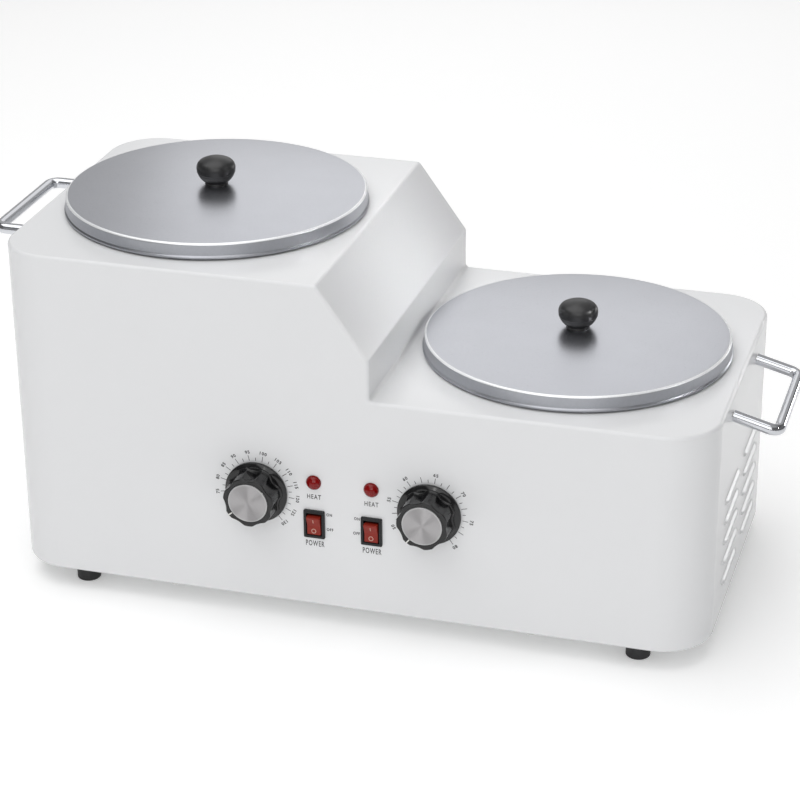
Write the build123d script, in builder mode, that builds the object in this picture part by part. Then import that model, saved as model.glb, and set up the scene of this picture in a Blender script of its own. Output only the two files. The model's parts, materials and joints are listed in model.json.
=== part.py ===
from build123d import *
import math
import os
from dataclasses import dataclass

# Twin wax warmer: a painted steel casing with a tall and a low half, each holding a heated well
# with a lift-out pot and a lid. The origin is on the floor under the middle of the whole warmer,
# +X is right seen from the front, +Y is the back and +Z is up. Sizes are in millimetres.

os.makedirs("parts", exist_ok=True)

# Casing
casing_width = 500.0
casing_depth = 250.0
left_height = 240.0
right_height = 160.0
riser = 30.0
slope_run = 36.0
sheet = 1.5
corner_radius = 36.0
rim_radius = 2.5
bend_radius = 3.0
return_width = 14.0

# Side louvres
louvre_length = 52.0
louvre_slot = 4.0
louvre_pitch = 15.5
louvre_rows = 5
louvre_low = 23.7
louvre_columns = (-36.5, 39.5)
louvre_proud = 3.0
louvre_thickness = 1.3
louvre_end = 1.5
louvre_root = 0.4

# Base plate, feet and their screws
base_thickness = 1.5
base_inset = 3.0
foot_height = 14.0
foot_radius = 8.5
foot_from_side = 48.0
foot_from_front = 20.0
foot_recess_clearance = 1.1
foot_recess_depth = 6.0
base_screw_inset = 8.5
base_screw_pitch = 130.0
base_slot_length = 64.0
base_slot_width = 5.0
base_slot_pitch = 11.0
base_slot_count = 4
base_slot_offset = 56.0
foot_lower_round = 1.0
foot_upper_round = 0.6
sheet_screw_reach = 3.0
screw_end = 1.0

# Carry handles, bent from round rod
handle_rod = 4.0
handle_centres = 96.0
handle_reach = 31.0
handle_below_top = 15.0
handle_bend = 6.0
left_handle_droop = 0.0
right_handle_droop = 15.0
handle_thread_depth = 5.0

# Wells, pots and lids
lid_from_side = 10.4
well_floor_height = 62.0
well_radius = 91.0
well_wall = 1.5
well_corner = 8.0
well_flange_width = 13.0
opening_clearance = 2.0
gasket_thickness = 1.0
gasket_inset = 3.0
pot_clearance = 5.0
pot_wall = 1.2
pot_corner = 10.0
pot_shoulder_width = 12.0
pot_bead = 1.4
pot_floor_gap = 4.0
seat_gap = 0.3
lid_clearance = 1.4
lid_edge_height = 12.0
lid_crown = 4.0
lid_wall = 1.2
lid_lift = 1.4
lid_lip = 1.3
lid_edge_round = 1.8
lid_taper = 0.5
lid_lip_slope = 0.6
well_flange_round = 1.0
pot_fine_round = 0.6
pot_step_round = 1.6
pot_bead_height = 1.8
pot_bead_round = 0.8
pot_lip_round = 0.5

# Lid knobs
lid_knob_radius = 13.8
lid_knob_height = 20.0
lid_knob_middle = 12.0
lid_knob_neck = 7.4
lid_knob_belly = 7.2
lid_knob_shoulder = 6.0
lid_knob_flare = 0.3
lid_screw_radius = 2.5
lid_screw_length = 11.0
lid_screw_flange = 6.5
lid_screw_flange_height = 1.0
lid_screw_head = 4.0
lid_screw_head_height = 3.4

# Heaters, insulation and what holds the wells
heater_gap = 0.3
heater_thickness = 3.0
heater_above_floor = 8.0
left_heater_height = 60.0
right_heater_height = 40.0
clamp_gap = 6.0
clamp_length = 13.0
clamp_width = 18.0
clamp_sheet = 2.0
clamp_overlap = 0.5
clamp_hole_inset = 1.5
post_angle = 14.0
post_radius = 2.0
post_length = 9.0
post_spacing = 20.0
wrap_thickness = 7.5
wrap_half_gap = 22.0
wrap_above_floor = 5.0
wrap_below_top = 22.0
bracket_inset = 16.0
bracket_width = 30.0
bracket_sheet = 2.0
bracket_foot = 18.0
bracket_inner_round = 1.0
bracket_outer_round = 3.0
stud_radius = 3.0
stud_length = 12.0
cutout_radius = 8.0
cutout_height = 7.0
cutout_offset = 48.0
cutout_ear = 13.0
cutout_tab = 7.0
cutout_tab_offset = 5.0
cutout_plate_width = 8.0
cutout_plate_sheet = 1.0
cutout_tab_width = 5.0
cutout_tab_sheet = 0.8
cutout_stud_length = 6.0

# Front panel
panel_x = -1.4
knob_offset = 61.6
knob_height = 83.0
lamp_offset = 20.5
lamp_height = 95.0
switch_height = 63.3

# Thermostats and their knobs
thermostat_width = 40.0
thermostat_height = 44.0
thermostat_depth = 26.0
thermostat_screw_offset = 14.0
thermostat_corner = 3.0
thermostat_screw_reach = 7.5
thermostat_hole_depth = 8.0
tab_offset = 9.0
tab_from_panel = 20.5
tab_length = 8.0
tab_width = 6.3
tab_sheet = 0.8
bush_radius = 5.0
bush_proud = 1.8
spindle_radius = 3.0
spindle_flat = 2.2
spindle_flat_gap = 1.0
spindle_inside = 15.0
spindle_proud = 16.0
bulb_radius = 1.5
bulb_length = 62.0
bulb_angle = -15.0
capillary_radius = 0.8
capillary_offset = 12.0
capillary_drop = 16.0
capillary_run = 12.0
capillary_below = 8.0
knob_depth = 20.0
knob_gap = 1.0
knob_skirt_radius = 22.3
knob_skirt_rim = 2.0
knob_body_radius = 19.0
knob_front_radius = 18.0
knob_body_start = 4.6
knob_wall = 2.0
knob_hub_radius = 6.0
knob_lobes = 7
knob_flute_radius = 9.0
knob_flute_depth = 2.1
knob_lobe_round = 1.4
knob_cap_radius = 14.2
knob_cap_thickness = 1.2
knob_cap_proud = 0.4
knob_cap_round = 0.3
knob_edge_round = 0.5
knob_skirt_round = 1.0
knob_front_wall = 3.6
knob_overlap = 1.0
knob_shell_step = 1.0
knob_shell_slope = 1.4
knob_shell_gap = 0.6
knob_bush_gap = 1.0
knob_bush_room = 0.7
knob_bore_room = 0.3
left_rest_angle = 217.3
right_rest_angle = 232.1

# Rocker switches
switch_width = 15.0
switch_tall = 21.0
switch_corner = 0.8
switch_edge_round = 0.5
switch_proud = 2.0
switch_body_width = 13.0
switch_body_tall = 19.2
switch_body_depth = 20.0
switch_cavity_width = 11.2
switch_cavity_tall = 16.8
switch_cavity_depth = 12.5
switch_tab = 9.0
switch_tab_offset = 5.0
switch_tab_width = 4.8
switch_tab_sheet = 0.8
rocker_pivot_depth = 1.0
rocker_pivot_radius = 1.5
rocker_middle_proud = 2.4
rocker_end_proud = 3.6
rocker_end_clearance = 1.2
rocker_edge_round = 0.4
rocker_hollow_round = 2.0
rocker_inner_round = 1.0
rocker_side_depth = 2.0
rocker_side_flare = 0.4
rocker_side_gap = 0.2
rocker_waist_depth = 3.5
rocker_waist = 5.0
rocker_foot_depth = 6.5
rocker_foot = 2.2
pivot_hole_inset = 0.6
pivot_pin_inset = 1.0
rocker_tilt = 10.0

# Pilot lamps
lens_radius = 5.0
lens_flange = 0.3
lens_flange_height = 0.8
lens_height = 4.6
lens_shoulder = 2.4
lens_stem_radius = 4.0
lens_stem_length = 6.0
lamp_body_radius = 5.2
lamp_collar_radius = 7.0
lamp_collar_length = 2.5
lamp_body_length = 26.0

# Mains inlet, terminal block and earth stud
inlet_height = 35.0
inlet_width = 50.0
inlet_tall = 24.0
inlet_proud = 2.5
inlet_corner = 4.0
inlet_edge_round = 0.6
inlet_head_height = 1.0
inlet_body_width = 27.5
inlet_body_tall = 19.8
inlet_body_depth = 22.0
inlet_socket_width = 24.2
inlet_socket_tall = 16.4
inlet_socket_depth = 16.0
inlet_socket_cut = 4.5
inlet_socket_round = 1.0
inlet_screw_offset = 20.0
pin_width = 2.0
pin_tall = 4.0
pin_reach = 10.5
pin_tab = 8.0
pin_offset = 7.0
pin_drop = 2.0
block_width = 42.0
block_depth = 20.0
block_tall = 16.0
block_corner = 1.5
block_from_middle = 42.0
block_pitch = 9.0
block_row = 10.0
block_hole = 2.2
block_hole_depth = 5.0
lead_radius = 1.2
lead_run = 14.0
earth_stud_x = 40.0
earth_stud_y = 78.0
earth_stud_length = 14.0
earth_tag_height = 1.0
earth_tag_length = 12.0
earth_tag_width = 5.0
earth_tag_radius = 4.0
earth_tag_sheet = 1.5
earth_collar_radius = 3.0

# Fits
running_fit = 0.06
screw_fit = 0.05
hole_clearance = 0.15
cut_clearance = 0.2
cut_margin = 0.5
edge_margin = 0.1

# Fasteners: shank radius, head radius and head height
m3_shank, m3_head = 1.5, 2.8
m4_shank, m4_head, m4_head_height = 2.0, 3.5, 2.4
sheet_screw_shank, sheet_screw_head, sheet_screw_head_height = 1.75, 3.4, 2.2
m4_nut_flats, m4_nut_height = 7.0, 3.2
m3_nut_flats, m3_nut_height = 5.4, 2.4
m6_nut_flats, m6_nut_height = 10.0, 5.0
washer_radius, washer_thickness = 4.5, 0.8

# Places worked out from the sizes above
casing_z = foot_height + base_thickness
casing_y = (knob_depth - inlet_proud) / 2
front_y = casing_y - casing_depth / 2
back_y = casing_y + casing_depth / 2
opening_radius = well_radius + opening_clearance
well_flange_radius = well_radius + well_flange_width
bracket_length = 2 * (well_radius - bracket_inset)
pot_radius = well_radius - pot_clearance
pot_shoulder_radius = pot_radius + pot_shoulder_width
lid_radius = well_flange_radius + lid_clearance + lid_wall
foot_recess_radius = m4_head + foot_recess_clearance
rocker_half_height = switch_cavity_tall / 2 - rocker_end_clearance
well_floor = casing_z + well_floor_height
lid_curve = (lid_radius**2 + lid_crown**2) / (2 * lid_crown)
heater_inner = well_radius + heater_gap
heater_outer = heater_inner + heater_thickness
wrap_inner = heater_outer + heater_gap
wrap_outer = wrap_inner + wrap_thickness
bulb_place = heater_outer + bulb_radius + seat_gap


@dataclass(frozen=True)
class Half:
    """One half of the warmer: its name, which side it is on and what differs between the two."""

    name: str
    side: int
    height: float
    heater_height: float
    droop: float
    rest_angle: float

    @property
    def x(self):
        """Middle of the well."""
        return self.side * (casing_width / 2 - lid_from_side - lid_radius - lid_lip)

    @property
    def top(self):
        """Top of the casing."""
        return casing_z + self.height

    @property
    def flange_top(self):
        """Top of the well's flange."""
        return self.top + gasket_thickness + well_wall

    @property
    def handle_z(self):
        """Height of the handle's roots."""
        return self.top - handle_below_top

    @property
    def knob_x(self):
        """Axis of the thermostat knob."""
        return panel_x + self.side * knob_offset

    def around(self, radius, angle):
        """Place around the well, with the angle measured from the middle of the warmer."""
        turn = math.radians(angle)
        return (self.x - self.side * radius * math.cos(turn), casing_y + radius * math.sin(turn))


left = Half("left", -1, left_height, left_heater_height, left_handle_droop, left_rest_angle)
right = Half("right", 1, right_height, right_heater_height, right_handle_droop, right_rest_angle)
halves = (left, right)

knob_z = casing_z + knob_height
lamp_z = casing_z + lamp_height
switch_z = casing_z + switch_height
tab_y = front_y + tab_from_panel
inlet_z = casing_z + inlet_height
foot_points = [
    (x, y)
    for x in (-casing_width / 2 + foot_from_side, casing_width / 2 - foot_from_side)
    for y in (front_y + foot_from_front, back_y - foot_from_front)
]
base_screw_points = [
    (x, y)
    for x in (-base_screw_pitch, 0, base_screw_pitch)
    for y in (front_y + base_screw_inset, back_y - base_screw_inset)
]
base_screw_points += [
    (-casing_width / 2 + base_screw_inset, casing_y),
    (casing_width / 2 - base_screw_inset, casing_y),
]
bracket_screw_points = [
    (half.x + end * (bracket_length / 2 + bracket_foot / 2), casing_y)
    for half in halves
    for end in (-1, 1)
]


def upright(x, y, z=0.0):
    """Plane facing the front, whose own x runs right and own y runs up."""
    return Plane((x, y, z), x_dir=(1, 0, 0), z_dir=(0, -1, 0))


def out_of_panel(x, z):
    """Plane whose own x runs right and whose own y comes out of the front panel."""
    return Plane((x, front_y, z), x_dir=(1, 0, 0), z_dir=(0, 0, -1))


def side_plane(half):
    """Plane on the casing's side wall, facing outward, whose own y runs up."""
    x = half.side * casing_width / 2
    return Plane((x, casing_y, 0), x_dir=(0, half.side, 0), z_dir=(half.side, 0, 0))


def outline(*corners):
    """Edges of a closed outline through corners given as (x, y) or (x, y, radius)."""
    with BuildLine() as line:
        FilletPolyline(
            *[corner[:2] for corner in corners],
            radius=[corner[2] if len(corner) > 2 else 0 for corner in corners],
            close=True,
        )
    return line.edges()


def add_dome(radius, low, height, shoulder):
    """Two tangent arcs, a small one at the shoulder and a large one over the top of a dome."""
    small_x = radius - shoulder
    large = (small_x**2 + height**2 - shoulder**2) / (2 * (height - shoulder))
    turn = math.degrees(math.atan2(large - height, small_x))
    CenterArc((small_x, low), shoulder, 0, turn)
    CenterArc((0, low + height - large), large, turn, 90 - turn)


def lid_height_at(radius):
    """Height of the lid's domed outside above the casing's top, at a radius."""
    crown = lid_edge_height + lid_crown
    return crown - (lid_curve - math.sqrt(lid_curve**2 - radius**2))


# Casing


def stepped_block(inset):
    """The casing's outer form, or with the sheet's thickness as inset the room inside it."""
    low_left, low_right = -casing_width / 2 + inset, casing_width / 2 - inset
    slope = math.atan2(left_height - right_height - riser, slope_run)
    half_run = slope_run / 2
    slope_top = (
        -half_run - inset * math.tan(slope / 2),
        casing_z + left_height - inset,
        bend_radius - inset,
    )
    slope_foot = (
        half_run - inset,
        casing_z + right_height + riser - inset * math.tan(math.pi / 4 - slope / 2),
        bend_radius - inset,
    )
    riser_foot = (half_run - inset, casing_z + right_height - inset, bend_radius + inset)
    with BuildPart() as block:
        with BuildSketch(upright(0, back_y - inset)):
            make_face(
                outline(
                    (low_left, casing_z + inset),
                    (low_right, casing_z + inset),
                    (low_right, casing_z + right_height - inset),
                    riser_foot,
                    slope_foot,
                    slope_top,
                    (low_left, casing_z + left_height - inset),
                )
            )
        extrude(amount=casing_depth - 2 * inset)
        uprights = block.edges().filter_by(Axis.Z)
        fillet(
            uprights.filter_by(lambda edge: abs(edge.center().X) > slope_run),
            corner_radius - inset,
        )
        above = block.edges().filter_by(lambda edge: edge.center().Z > casing_z + right_height / 2)
        corner_seams = above.filter_by(Axis.Z).filter_by(
            lambda edge: abs(edge.center().X) > slope_run
        )
        bend_seams = above.filter_by(Axis.Y).filter_by(
            lambda edge: abs(edge.center().X) < casing_width / 4
        )
        fillet(above - corner_seams - bend_seams, rim_radius - inset)
    return block.part


def make_casing():
    """Casing: folded sheet with openings for the wells, controls, inlet and air."""
    outside = stepped_block(0)
    inside = stepped_block(sheet)
    with BuildPart() as casing:
        add(outside)
        add(inside, mode=Mode.SUBTRACT)
        for half in halves:
            with Locations((half.x, casing_y, half.top)):
                Cylinder(opening_radius, 4 * sheet, mode=Mode.SUBTRACT)
        with BuildSketch(Plane((0, casing_y, casing_z))):
            RectangleRounded(
                casing_width - 2 * return_width,
                casing_depth - 2 * return_width,
                corner_radius - return_width,
            )
        extrude(amount=2 * sheet, mode=Mode.SUBTRACT)
        with BuildSketch(Plane.XY.offset(casing_z)):
            with Locations(*base_screw_points):
                Circle(sheet_screw_shank + screw_fit)
        extrude(amount=2 * sheet, mode=Mode.SUBTRACT)
        with BuildSketch(upright(panel_x, front_y)):
            for half in halves:
                with Locations((half.side * knob_offset, knob_z)):
                    Circle(bush_radius + cut_clearance)
                    with Locations((-thermostat_screw_offset, 0), (thermostat_screw_offset, 0)):
                        Circle(m4_shank + hole_clearance)
                with Locations((half.side * lamp_offset, lamp_z)):
                    Circle(lens_stem_radius + cut_clearance)
                with Locations((half.side * lamp_offset, switch_z)):
                    Rectangle(
                        switch_body_width + 2 * cut_clearance,
                        switch_body_tall + 2 * cut_clearance,
                    )
        extrude(amount=-2 * sheet, mode=Mode.SUBTRACT)
        with BuildSketch(upright(0, back_y, inlet_z)):
            Rectangle(
                inlet_body_width + 2 * cut_clearance, inlet_body_tall + 2 * cut_clearance
            )
            with Locations((-inlet_screw_offset, 0), (inlet_screw_offset, 0)):
                Circle(m3_shank + hole_clearance)
        extrude(amount=2 * sheet, mode=Mode.SUBTRACT)
        for half in halves:
            wall = half.side * casing_width / 2
            for column in louvre_columns:
                end = casing_y + column + louvre_length / 2 + louvre_end
                with BuildSketch(upright(wall, end)):
                    for row in range(louvre_rows):
                        height = casing_z + louvre_low + row * louvre_pitch
                        add(louvre_blade(half.side, height))
                extrude(amount=louvre_length + 2 * louvre_end)
            with BuildSketch(side_plane(half)):
                for column in louvre_columns:
                    for row in range(louvre_rows):
                        height = casing_z + louvre_low + row * louvre_pitch
                        with Locations((half.side * column, height)):
                            Rectangle(louvre_length, louvre_slot)
                with Locations(
                    (-handle_centres / 2, half.handle_z), (handle_centres / 2, half.handle_z)
                ):
                    Circle(m4_shank + hole_clearance)
            extrude(amount=-2 * sheet, mode=Mode.SUBTRACT)
    casing.part.label = "casing"
    export_step(casing.part, "parts/casing.step")


def louvre_blade(side, height):
    """Section of one pressed louvre, which hangs over its slot."""
    root = height + louvre_slot / 2 + louvre_root
    tip = height - louvre_slot / 4
    with BuildSketch() as blade:
        Polygon(
            (-side * sheet / 2, root),
            (-side * sheet / 2, root + louvre_thickness),
            (side * louvre_proud, tip + louvre_thickness),
            (side * louvre_proud, tip),
            align=None,
        )
    return blade.sketch


def make_base_plate():
    """Base plate: closes the casing from below, with air slots under the wells."""
    with BuildPart() as base:
        with BuildSketch(Plane((0, casing_y, foot_height))):
            RectangleRounded(
                casing_width - 2 * base_inset,
                casing_depth - 2 * base_inset,
                corner_radius - base_inset,
            )
        extrude(amount=base_thickness)
        with BuildSketch(Plane.XY.offset(foot_height)):
            with Locations(*base_screw_points):
                Circle(sheet_screw_shank + hole_clearance)
            with Locations(*foot_points, *bracket_screw_points):
                Circle(m4_shank + hole_clearance)
            for half in halves:
                for offset in (-base_slot_offset, base_slot_offset):
                    with Locations((half.x, casing_y + offset)):
                        with GridLocations(0, base_slot_pitch, 1, base_slot_count):
                            SlotOverall(base_slot_length, base_slot_width)
        extrude(amount=base_thickness, mode=Mode.SUBTRACT)
    base.part.label = "base_plate"
    export_step(base.part, "parts/base_plate.step")


# Feet and base fasteners


def make_feet():
    """Four rubber feet, each with a recess for its screw's head."""
    names = ("front_left_foot", "back_left_foot", "front_right_foot", "back_right_foot")
    for name, (x, y) in zip(names, foot_points):
        with BuildPart() as foot:
            with BuildSketch(upright(x, y)):
                make_face(
                    outline(
                        (foot_recess_radius, 0),
                        (foot_radius, 0, foot_lower_round),
                        (foot_radius, foot_height, foot_upper_round),
                        (m4_shank + hole_clearance, foot_height),
                        (m4_shank + hole_clearance, foot_recess_depth),
                        (foot_recess_radius, foot_recess_depth),
                    )
                )
            revolve(axis=Axis((x, y, 0), (0, 0, 1)))
        foot.part.label = name
        export_step(foot.part, f"parts/{name}.step")


def make_foot_fasteners():
    """Screws up through the feet, and the nuts that hold them on the base plate."""
    nut_top = casing_z + m4_nut_height
    with BuildPart() as screws:
        with Locations(*[(x, y, foot_recess_depth) for x, y in foot_points]):
            Cylinder(m4_head, m4_head_height, align=(Align.CENTER, Align.CENTER, Align.MAX))
            Cylinder(
                m4_shank,
                nut_top + screw_end - foot_recess_depth,
                align=(Align.CENTER, Align.CENTER, Align.MIN),
            )
    screws.part.label = "foot_screws"
    export_step(screws.part, "parts/foot_screws.step")

    with BuildPart() as nuts:
        with BuildSketch(Plane.XY.offset(casing_z)):
            with Locations(*foot_points):
                RegularPolygon(m4_nut_flats / 2, 6, major_radius=False)
                Circle(m4_shank + screw_fit, mode=Mode.SUBTRACT)
        extrude(amount=m4_nut_height)
    nuts.part.label = "foot_nuts"
    export_step(nuts.part, "parts/foot_nuts.step")


def make_base_screws():
    """Screws that hold the base plate to the casing's return flange."""
    with BuildPart() as screws:
        with Locations(*[(x, y, foot_height) for x, y in base_screw_points]):
            Cylinder(
                sheet_screw_head,
                sheet_screw_head_height,
                align=(Align.CENTER, Align.CENTER, Align.MAX),
            )
            Cylinder(
                sheet_screw_shank,
                base_thickness + sheet + sheet_screw_reach,
                align=(Align.CENTER, Align.CENTER, Align.MIN),
            )
    screws.part.label = "base_screws"
    export_step(screws.part, "parts/base_screws.step")


# Handles


def make_handle(half):
    """Carry handle: a round rod bent into a U, tapped at both roots."""
    droop = math.radians(half.droop)
    past_wall = handle_rod
    wall = half.side * casing_width / 2
    bar = (wall + half.side * handle_reach, half.handle_z - handle_reach * math.tan(droop))
    root = (wall - half.side * past_wall, half.handle_z + past_wall * math.tan(droop))
    near, far = casing_y - handle_centres / 2, casing_y + handle_centres / 2
    with BuildPart() as handle:
        with BuildLine() as path:
            FilletPolyline(
                (root[0], near, root[1]),
                (bar[0], near, bar[1]),
                (bar[0], far, bar[1]),
                (root[0], far, root[1]),
                radius=handle_bend,
            )
        with BuildSketch(Plane(path.line @ 0, z_dir=path.line % 0)):
            Circle(handle_rod)
        sweep()
        split(bisect_by=side_plane(half), keep=Keep.TOP)
        with BuildSketch(side_plane(half)):
            with Locations(
                (-handle_centres / 2, half.handle_z), (handle_centres / 2, half.handle_z)
            ):
                Circle(m4_shank + screw_fit)
        extrude(amount=handle_thread_depth + cut_margin, mode=Mode.SUBTRACT)
    handle.part.label = f"{half.name}_handle"
    export_step(handle.part, f"parts/{half.name}_handle.step")


def make_handle_fasteners():
    """Screws and washers that hold both handles from inside the casing."""
    with BuildPart() as washers:
        for half in halves:
            with BuildSketch(side_plane(half).offset(-sheet)):
                with Locations(
                    (-handle_centres / 2, half.handle_z), (handle_centres / 2, half.handle_z)
                ):
                    Circle(washer_radius)
                    Circle(m4_shank + hole_clearance, mode=Mode.SUBTRACT)
            extrude(amount=-washer_thickness)
    washers.part.label = "handle_washers"
    export_step(washers.part, "parts/handle_washers.step")

    with BuildPart() as screws:
        for half in halves:
            under_head = side_plane(half).offset(-sheet - washer_thickness)
            with BuildSketch(under_head):
                with Locations(
                    (-handle_centres / 2, half.handle_z), (handle_centres / 2, half.handle_z)
                ):
                    Circle(m4_head)
            extrude(amount=-m4_head_height)
            with BuildSketch(under_head):
                with Locations(
                    (-handle_centres / 2, half.handle_z), (handle_centres / 2, half.handle_z)
                ):
                    Circle(m4_shank)
            extrude(amount=sheet + washer_thickness + handle_thread_depth)
    screws.part.label = "handle_screws"
    export_step(screws.part, "parts/handle_screws.step")


# Wells and what surrounds them


def make_well(half):
    """Well: an aluminium pan with a flange on the casing and a stud under its floor."""
    seat = half.top + gasket_thickness
    inner = well_radius - well_wall
    with BuildPart() as well:
        with BuildSketch(upright(half.x, casing_y)):
            make_face(
                outline(
                    (0, well_floor),
                    (well_radius, well_floor, well_corner),
                    (well_radius, seat),
                    (well_flange_radius, seat),
                    (well_flange_radius, half.flange_top),
                    (inner, half.flange_top, well_flange_round),
                    (inner, well_floor + well_wall, well_corner - well_wall),
                    (0, well_floor + well_wall),
                )
            )
        revolve(axis=Axis((half.x, casing_y, 0), (0, 0, 1)))
        with Locations((half.x, casing_y, well_floor)):
            Cylinder(stud_radius, stud_length, align=(Align.CENTER, Align.CENTER, Align.MAX))
        with Locations(
            (half.x, casing_y + cutout_offset - cutout_ear, well_floor),
            (half.x, casing_y + cutout_offset + cutout_ear, well_floor),
        ):
            Cylinder(m3_shank, cutout_stud_length, align=(Align.CENTER, Align.CENTER, Align.MAX))
    well.part.label = f"{half.name}_well"
    export_step(well.part, f"parts/{half.name}_well.step")


def make_gaskets():
    """Silicone rings between the casing and the wells' flanges."""
    with BuildPart() as gaskets:
        for half in halves:
            with BuildSketch(Plane((half.x, casing_y, half.top))):
                Circle(well_flange_radius)
                Circle(well_radius + gasket_inset, mode=Mode.SUBTRACT)
            extrude(amount=gasket_thickness)
    gaskets.part.label = "well_gaskets"
    export_step(gaskets.part, "parts/well_gaskets.step")


def make_heater(half):
    """Band heater: a split ring with two clamp lugs and two terminal posts."""
    low = well_floor + heater_above_floor
    middle = low + half.heater_height / 2
    lug_middle = half.around(heater_outer + clamp_length / 2 - clamp_overlap, 0)
    with BuildPart() as heater:
        with BuildSketch(Plane((half.x, casing_y, low))):
            Circle(heater_outer)
            Circle(heater_inner, mode=Mode.SUBTRACT)
        extrude(amount=half.heater_height)
        for side in (-1, 1):
            with Locations((lug_middle[0], casing_y + side * (clamp_gap + clamp_sheet) / 2, middle)):
                Box(clamp_length + 2 * clamp_overlap, clamp_sheet, clamp_width)
        with Locations((half.x - half.side * well_radius, casing_y, middle)):
            Box(4 * heater_thickness, clamp_gap, half.heater_height, mode=Mode.SUBTRACT)
        with BuildSketch(upright(lug_middle[0] - half.side * clamp_hole_inset, casing_y + clamp_gap, middle)):
            Circle(m4_shank + hole_clearance)
        extrude(amount=2 * clamp_gap, mode=Mode.SUBTRACT)
        root = half.around(heater_outer - clamp_overlap, post_angle)
        tip = half.around(heater_outer + post_length, post_angle)
        for height in (middle - post_spacing / 2, middle + post_spacing / 2):
            with BuildSketch(
                Plane((*root, height), z_dir=(tip[0] - root[0], tip[1] - root[1], 0))
            ):
                Circle(post_radius)
            extrude(amount=post_length + clamp_overlap)
    heater.part.label = f"{half.name}_heater"
    export_step(heater.part, f"parts/{half.name}_heater.step")


def make_clamp_screws():
    """Screw and nut that close each heater's clamp."""
    reach = clamp_gap / 2 + clamp_sheet
    with BuildPart() as screws:
        for half in halves:
            middle = well_floor + heater_above_floor + half.heater_height / 2
            lug_x = half.around(heater_outer + clamp_length / 2 - clamp_overlap, 0)[0]
            x = lug_x - half.side * clamp_hole_inset
            with BuildSketch(upright(x, casing_y - reach, middle)):
                Circle(m4_head)
            extrude(amount=m4_head_height)
            with BuildSketch(upright(x, casing_y - reach, middle)):
                Circle(m4_shank)
            extrude(amount=-2 * reach - m4_nut_height - screw_end)
            with BuildSketch(upright(x, casing_y + reach, middle)):
                RegularPolygon(m4_nut_flats / 2, 6, major_radius=False)
                Circle(m4_shank + screw_fit, mode=Mode.SUBTRACT)
            extrude(amount=-m4_nut_height)
    screws.part.label = "clamp_screws"
    export_step(screws.part, "parts/clamp_screws.step")


def make_wrap(half):
    """Insulation: a C of ceramic wool round the heater, open at the clamp."""
    low = well_floor + wrap_above_floor
    high = half.top - wrap_below_top
    reach = wrap_outer * 2
    rise = reach * math.tan(math.radians(wrap_half_gap))
    with BuildPart() as wrap:
        with BuildSketch(Plane((half.x, casing_y, low))):
            Circle(wrap_outer)
            Circle(wrap_inner, mode=Mode.SUBTRACT)
            Polygon(
                (0, 0), (-half.side * reach, -rise), (-half.side * reach, rise),
                align=None, mode=Mode.SUBTRACT,
            )
        extrude(amount=high - low)
    wrap.part.label = f"{half.name}_insulation"
    export_step(wrap.part, f"parts/{half.name}_insulation.step")


def make_brackets():
    """Bridges that carry the wells' studs above the base plate."""
    half_length = bracket_length / 2
    with BuildPart() as brackets:
        for half in halves:
            with BuildSketch(upright(half.x, casing_y + bracket_width / 2)):
                make_face(
                    outline(
                        (-half_length - bracket_foot, casing_z),
                        (-half_length + bracket_sheet, casing_z, bracket_inner_round),
                        (-half_length + bracket_sheet, well_floor - bracket_sheet, bracket_inner_round),
                        (half_length - bracket_sheet, well_floor - bracket_sheet, bracket_inner_round),
                        (half_length - bracket_sheet, casing_z, bracket_inner_round),
                        (half_length + bracket_foot, casing_z),
                        (half_length + bracket_foot, casing_z + bracket_sheet),
                        (half_length, casing_z + bracket_sheet, bracket_outer_round),
                        (half_length, well_floor, bracket_outer_round),
                        (-half_length, well_floor, bracket_outer_round),
                        (-half_length, casing_z + bracket_sheet, bracket_outer_round),
                        (-half_length - bracket_foot, casing_z + bracket_sheet),
                    )
                )
            extrude(amount=bracket_width)
            with Locations((half.x, casing_y, well_floor)):
                Cylinder(stud_radius + hole_clearance, 4 * bracket_sheet, mode=Mode.SUBTRACT)
        with Locations(*[(x, y, casing_z) for x, y in bracket_screw_points]):
            Cylinder(m4_shank + screw_fit, 4 * bracket_sheet, mode=Mode.SUBTRACT)
    brackets.part.label = "well_brackets"
    export_step(brackets.part, "parts/well_brackets.step")


def make_bracket_screws():
    """Screws up through the base plate into the brackets' feet."""
    with BuildPart() as screws:
        with Locations(*[(x, y, foot_height) for x, y in bracket_screw_points]):
            Cylinder(m4_head, m4_head_height, align=(Align.CENTER, Align.CENTER, Align.MAX))
            Cylinder(
                m4_shank,
                base_thickness + bracket_sheet + sheet_screw_reach,
                align=(Align.CENTER, Align.CENTER, Align.MIN),
            )
    screws.part.label = "bracket_screws"
    export_step(screws.part, "parts/bracket_screws.step")


def make_well_nuts():
    """Nuts on the wells' studs, under the brackets."""
    with BuildPart() as nuts:
        with BuildSketch(Plane.XY.offset(well_floor - bracket_sheet)):
            with Locations(*[(half.x, casing_y) for half in halves]):
                RegularPolygon(m6_nut_flats / 2, 6, major_radius=False)
                Circle(stud_radius + screw_fit, mode=Mode.SUBTRACT)
        extrude(amount=-m6_nut_height)
    nuts.part.label = "well_nuts"
    export_step(nuts.part, "parts/well_nuts.step")


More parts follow.
